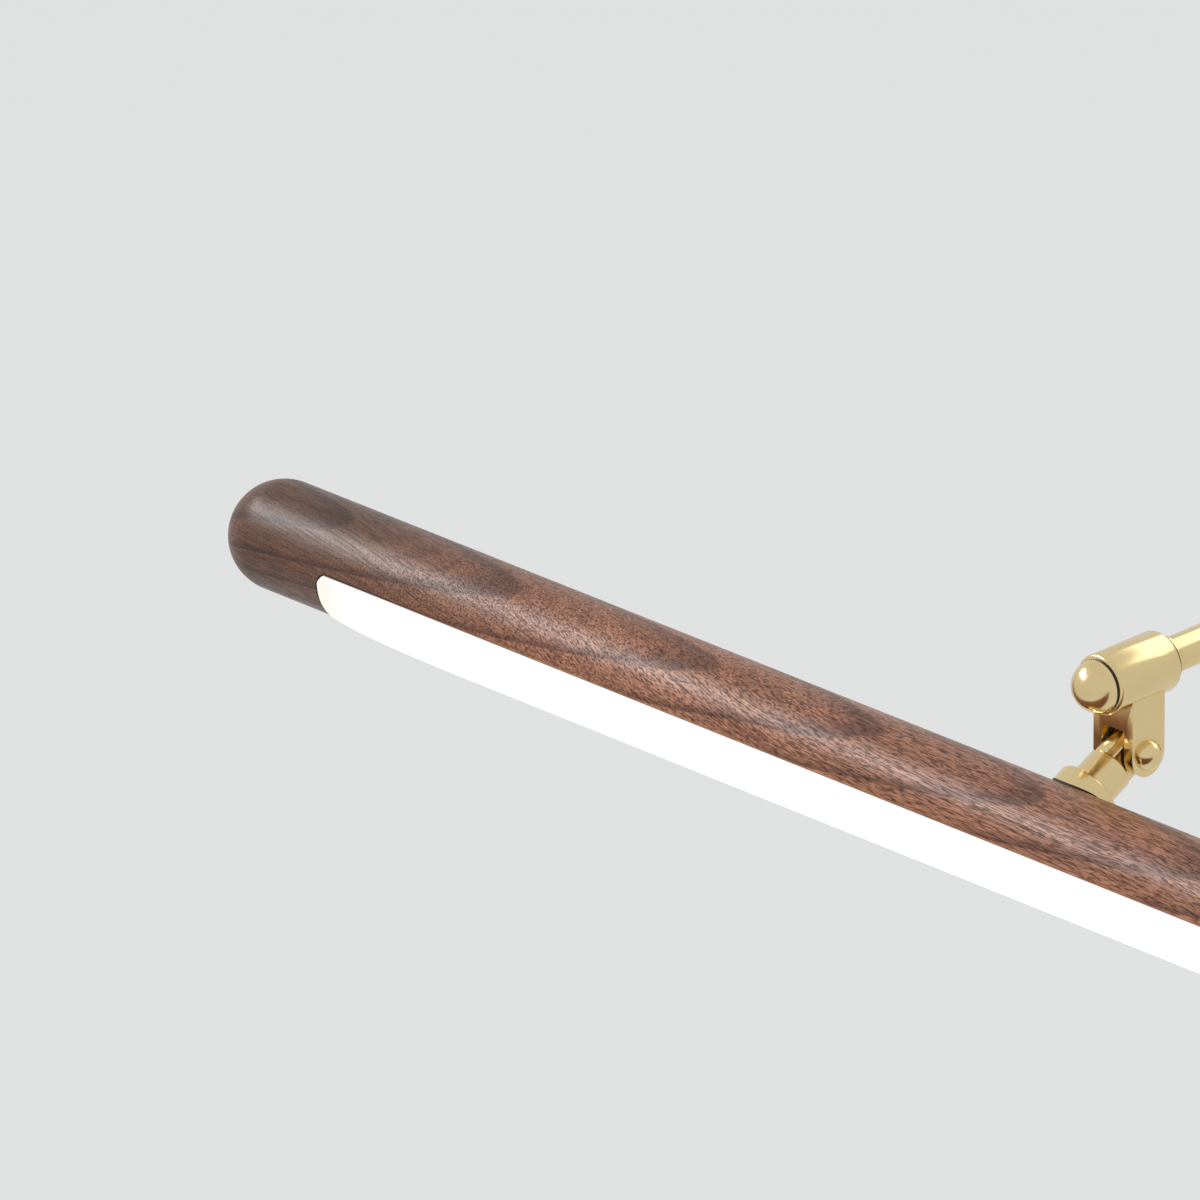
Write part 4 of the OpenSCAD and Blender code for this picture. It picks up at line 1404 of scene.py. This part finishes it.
@dataclass
class Switch(Assembly):
    """The fixed part of the push switch, drawn about the button's axis."""

    body: ClassVar[Body] = Body.WALL_BASE
    place: ClassVar[Matrix] = OUT @ LAMP.switch

    bezel_radius: float = 9 * MM
    bezel_height: float = 3 * MM
    bezel_slope: float = 1 * MM
    bezel_edge: float = 0.25 * MM
    case_radius: float = 8.5 * MM
    case_back: float = 10.5 * MM
    case_edge: float = 0.3 * MM
    spring_radius: float = 3.35 * MM
    spring_foot: float = 12.05 * MM
    spring_turns: int = 5
    turn_steps: int = 28
    wire: float = 0.8 * MM
    wire_sides: int = 10
    button_travel: float = 2 * MM

    def __post_init__(self) -> None:
        """Work out how long the spring is at rest."""
        self.spring_length = LAMP.button_back - GAP - self.spring_foot

    def build(self) -> None:
        """Model and fit the pieces."""
        self.fit(self.bezel(), "switch_bezel")
        self.fit(self.case(), "switch_body")
        spring = self.spring()
        self.fit(spring, "switch_spring")
        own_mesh(spring)

    def bezel(self) -> Piece:
        """Model the ring round the switch.

        Returns:
            The ring.
        """
        bore = LAMP.bush_radius + GAP
        back, front = LAMP.canopy_depth, LAMP.canopy_depth + self.bezel_height
        return Bench.turned("switch_bezel_ring", (
            (bore, back), (self.bezel_radius, back), (self.bezel_radius, front - self.bezel_slope),
            (bore + self.bezel_slope, front), (bore, front), (bore, back)), edge=self.bezel_edge)

    def case(self) -> Piece:
        """Model the switch's case with its bush, bored for the button.

        Returns:
            The case.
        """
        bore = LAMP.button_radius + GAP
        inside = LAMP.canopy_depth - LAMP.canopy_wall
        return Bench.turned("switch_case", (
            (bore, self.case_back + LAMP.canopy_wall), (bore, LAMP.bush_front),
            (LAMP.bush_radius, LAMP.bush_front), (LAMP.bush_radius, inside),
            (self.case_radius, inside), (self.case_radius, self.case_back)), edge=self.case_edge)

    def spring(self) -> Piece:
        """Model the coil spring behind the button, wound from a ring of its wire.

        Returns:
            The spring.
        """
        Bench.clear()
        bpy.ops.mesh.primitive_circle_add(vertices=self.wire_sides, radius=self.wire / 2)
        start = Matrix.Translation((self.spring_radius, 0, self.spring_foot + self.wire / 2))
        spring = Bench.settle(Bench.take("coiled_switch_spring"), start @ Axis.Y.value)
        pitch = (self.spring_length - self.wire) / self.spring_turns
        Bench.modify(spring, "SCREW", screw_offset=pitch, iterations=self.spring_turns,
                     steps=self.turn_steps)
        bpy.ops.object.mode_set(mode="EDIT")
        Bench.cap()
        Bench.face_out()
        return spring


@dataclass
class PushButton(Assembly):
    """The button of the switch, drawn about its axis."""

    body: ClassVar[Body] = Body.PLUNGER
    place: ClassVar[Matrix] = OUT @ LAMP.switch

    front: float = 41 * MM
    crown: float = 1.2 * MM
    groove_back: float = 1.2 * MM
    groove_width: float = 0.4 * MM
    groove_depth: float = 0.3 * MM

    def build(self) -> None:
        """Model and fit the button, with a fine groove round its front."""
        radius = LAMP.button_radius
        rim = self.front - self.crown
        start = rim - self.groove_back
        end = start + self.groove_width
        bottom = radius - self.groove_depth
        shank = [(radius, LAMP.button_back), (radius, start), (bottom, start), (bottom, end), (radius, end)]
        self.fit(Bench.turned("domed_push_button", shank + dome(radius, self.crown, rim)), "switch_button")


@dataclass
class Studio:
    """Pale floor, soft lights and the photograph's long-lens camera."""

    grey: Color = (0.796, 0.806, 0.804)
    floor_drop: float = 1.5
    floor_size: float = 60.0
    floor_roughness: float = 0.9
    floor_seen: float = 0.85
    sky: Color = (0.95, 0.97, 1.0)
    sky_strength: float = 0.55
    backdrop_strength: float = 0.95
    distance: float = 10.4
    lens: float = 888.0
    clip_end: float = 100.0
    target: Point = (-0.2847, -0.2125, -0.07)
    back: Point = (0.6428, -0.6513, 0.4032)

    def build(self) -> None:
        """Make the floor, world, lights and camera."""
        self.floor()
        self.world()
        self.softbox("key", towards=(-0.643, -0.439, 0.628), away=2.0, size=(1.6, 0.5), power=24.0)
        self.softbox("rim", towards=(0.1, 0.75, 0.65), away=2.0, size=(2.0, 0.8), power=6.0)
        self.camera()

    def floor(self) -> None:
        """Make the floor, seen nearly even with some of the shadow, and not at all from below."""
        Bench.clear()
        bpy.ops.mesh.primitive_plane_add(size=self.floor_size, location=(0, 0, -self.floor_drop))
        floor = Bench.take("floor")
        graph = Graph(bpy.data.materials.new("pale_floor"))
        floor.data.materials.append(graph.dress(Base_Color=self.grey, Roughness=self.floor_roughness))
        glow = graph.node("Emission", {"Color": self.grey})[0]
        seen = self.seen(graph, self.floor_seen)
        above = graph.node("MixShader", {0: seen, 1: graph.shader.outputs[0], 2: glow})[0]
        below = graph.node("BsdfTransparent", {})[0]
        facing = graph.node("NewGeometry", {})["Backfacing"]
        graph.feed(graph.surface, graph.node("MixShader", {0: facing, 1: above, 2: below})[0])

    @staticmethod
    def seen(graph: Graph, most: float) -> Socket:
        """Return how far a ray comes from the camera, a reflection or a refraction.

        Args:
            graph: Graph to add to.
            most: Value for such a ray.

        Returns:
            A value socket.
        """
        path = graph.node("LightPath", {})
        rays = [path[name] for name in ("Is Camera Ray", "Is Glossy Ray", "Is Transmission Ray")]
        return graph.times(reduce(partial(graph.math, "MAXIMUM"), rays), most)

    def world(self) -> None:
        """Light the lamp evenly from all round, and show the floor's grey behind it."""
        graph = Graph(bpy.data.worlds.new("studio"))
        bpy.context.scene.world = graph.dress(Color=self.sky, Strength=self.sky_strength)
        shown = graph.node("Background", {"Color": self.grey, "Strength": self.backdrop_strength})[0]
        inputs = {0: self.seen(graph, 1.0), 1: graph.shader.outputs[0], 2: shown}
        graph.feed(graph.surface, graph.node("MixShader", inputs)[0])

    def aim(self, way: Point, away: float) -> dict[str, Any]:
        """Return where a light or camera that looks at the target stands, and how it is turned.

        Args:
            way: Direction of it from the target.
            away: Its distance.

        Returns:
            Settings of the operator that adds it.
        """
        back = Vector(way).normalized()
        turn = back.to_track_quat("Z", "Y").to_euler()
        return {"location": Vector(self.target) + back * away, "rotation": turn}

    def softbox(self, name: str, towards: Point, away: float, size: tuple[float, float],
                power: float) -> None:
        """Hang a rectangular soft light that faces the lamp.

        Args:
            name: Name of the light.
            towards: Direction of the light from the lamp.
            away: Its distance.
            size: Its width and height.
            power: Its power in watts.
        """
        Bench.clear()
        bpy.ops.object.light_add(type="AREA", **self.aim(towards, away))
        light = bpy.context.active_object
        light.name = name
        light.data.shape = "RECTANGLE"
        light.data.size, light.data.size_y = size
        light.data.energy = power

    def camera(self) -> None:
        """Set the camera above and to the right, far off with a long lens, as in the photograph."""
        Bench.clear()
        bpy.ops.object.camera_add(**self.aim(self.back, self.distance))
        camera = bpy.context.active_object
        camera.data.lens = self.lens
        camera.data.clip_end = self.clip_end
        bpy.context.scene.camera = camera


def main() -> None:
    """Build the lamp and its studio."""
    logging.basicConfig(level=logging.INFO, format="%(name)s %(message)s")
    bpy.context.scene.view_settings.view_transform = "Standard"
    palette = Palette()
    palette.dress_frame()
    for assembly in (LightBar, BarNeck, Head, SwingArm, WallBase, Switch, PushButton):
        assembly(palette).build()
    Studio().build()


if __name__ == "__main__":
    main()
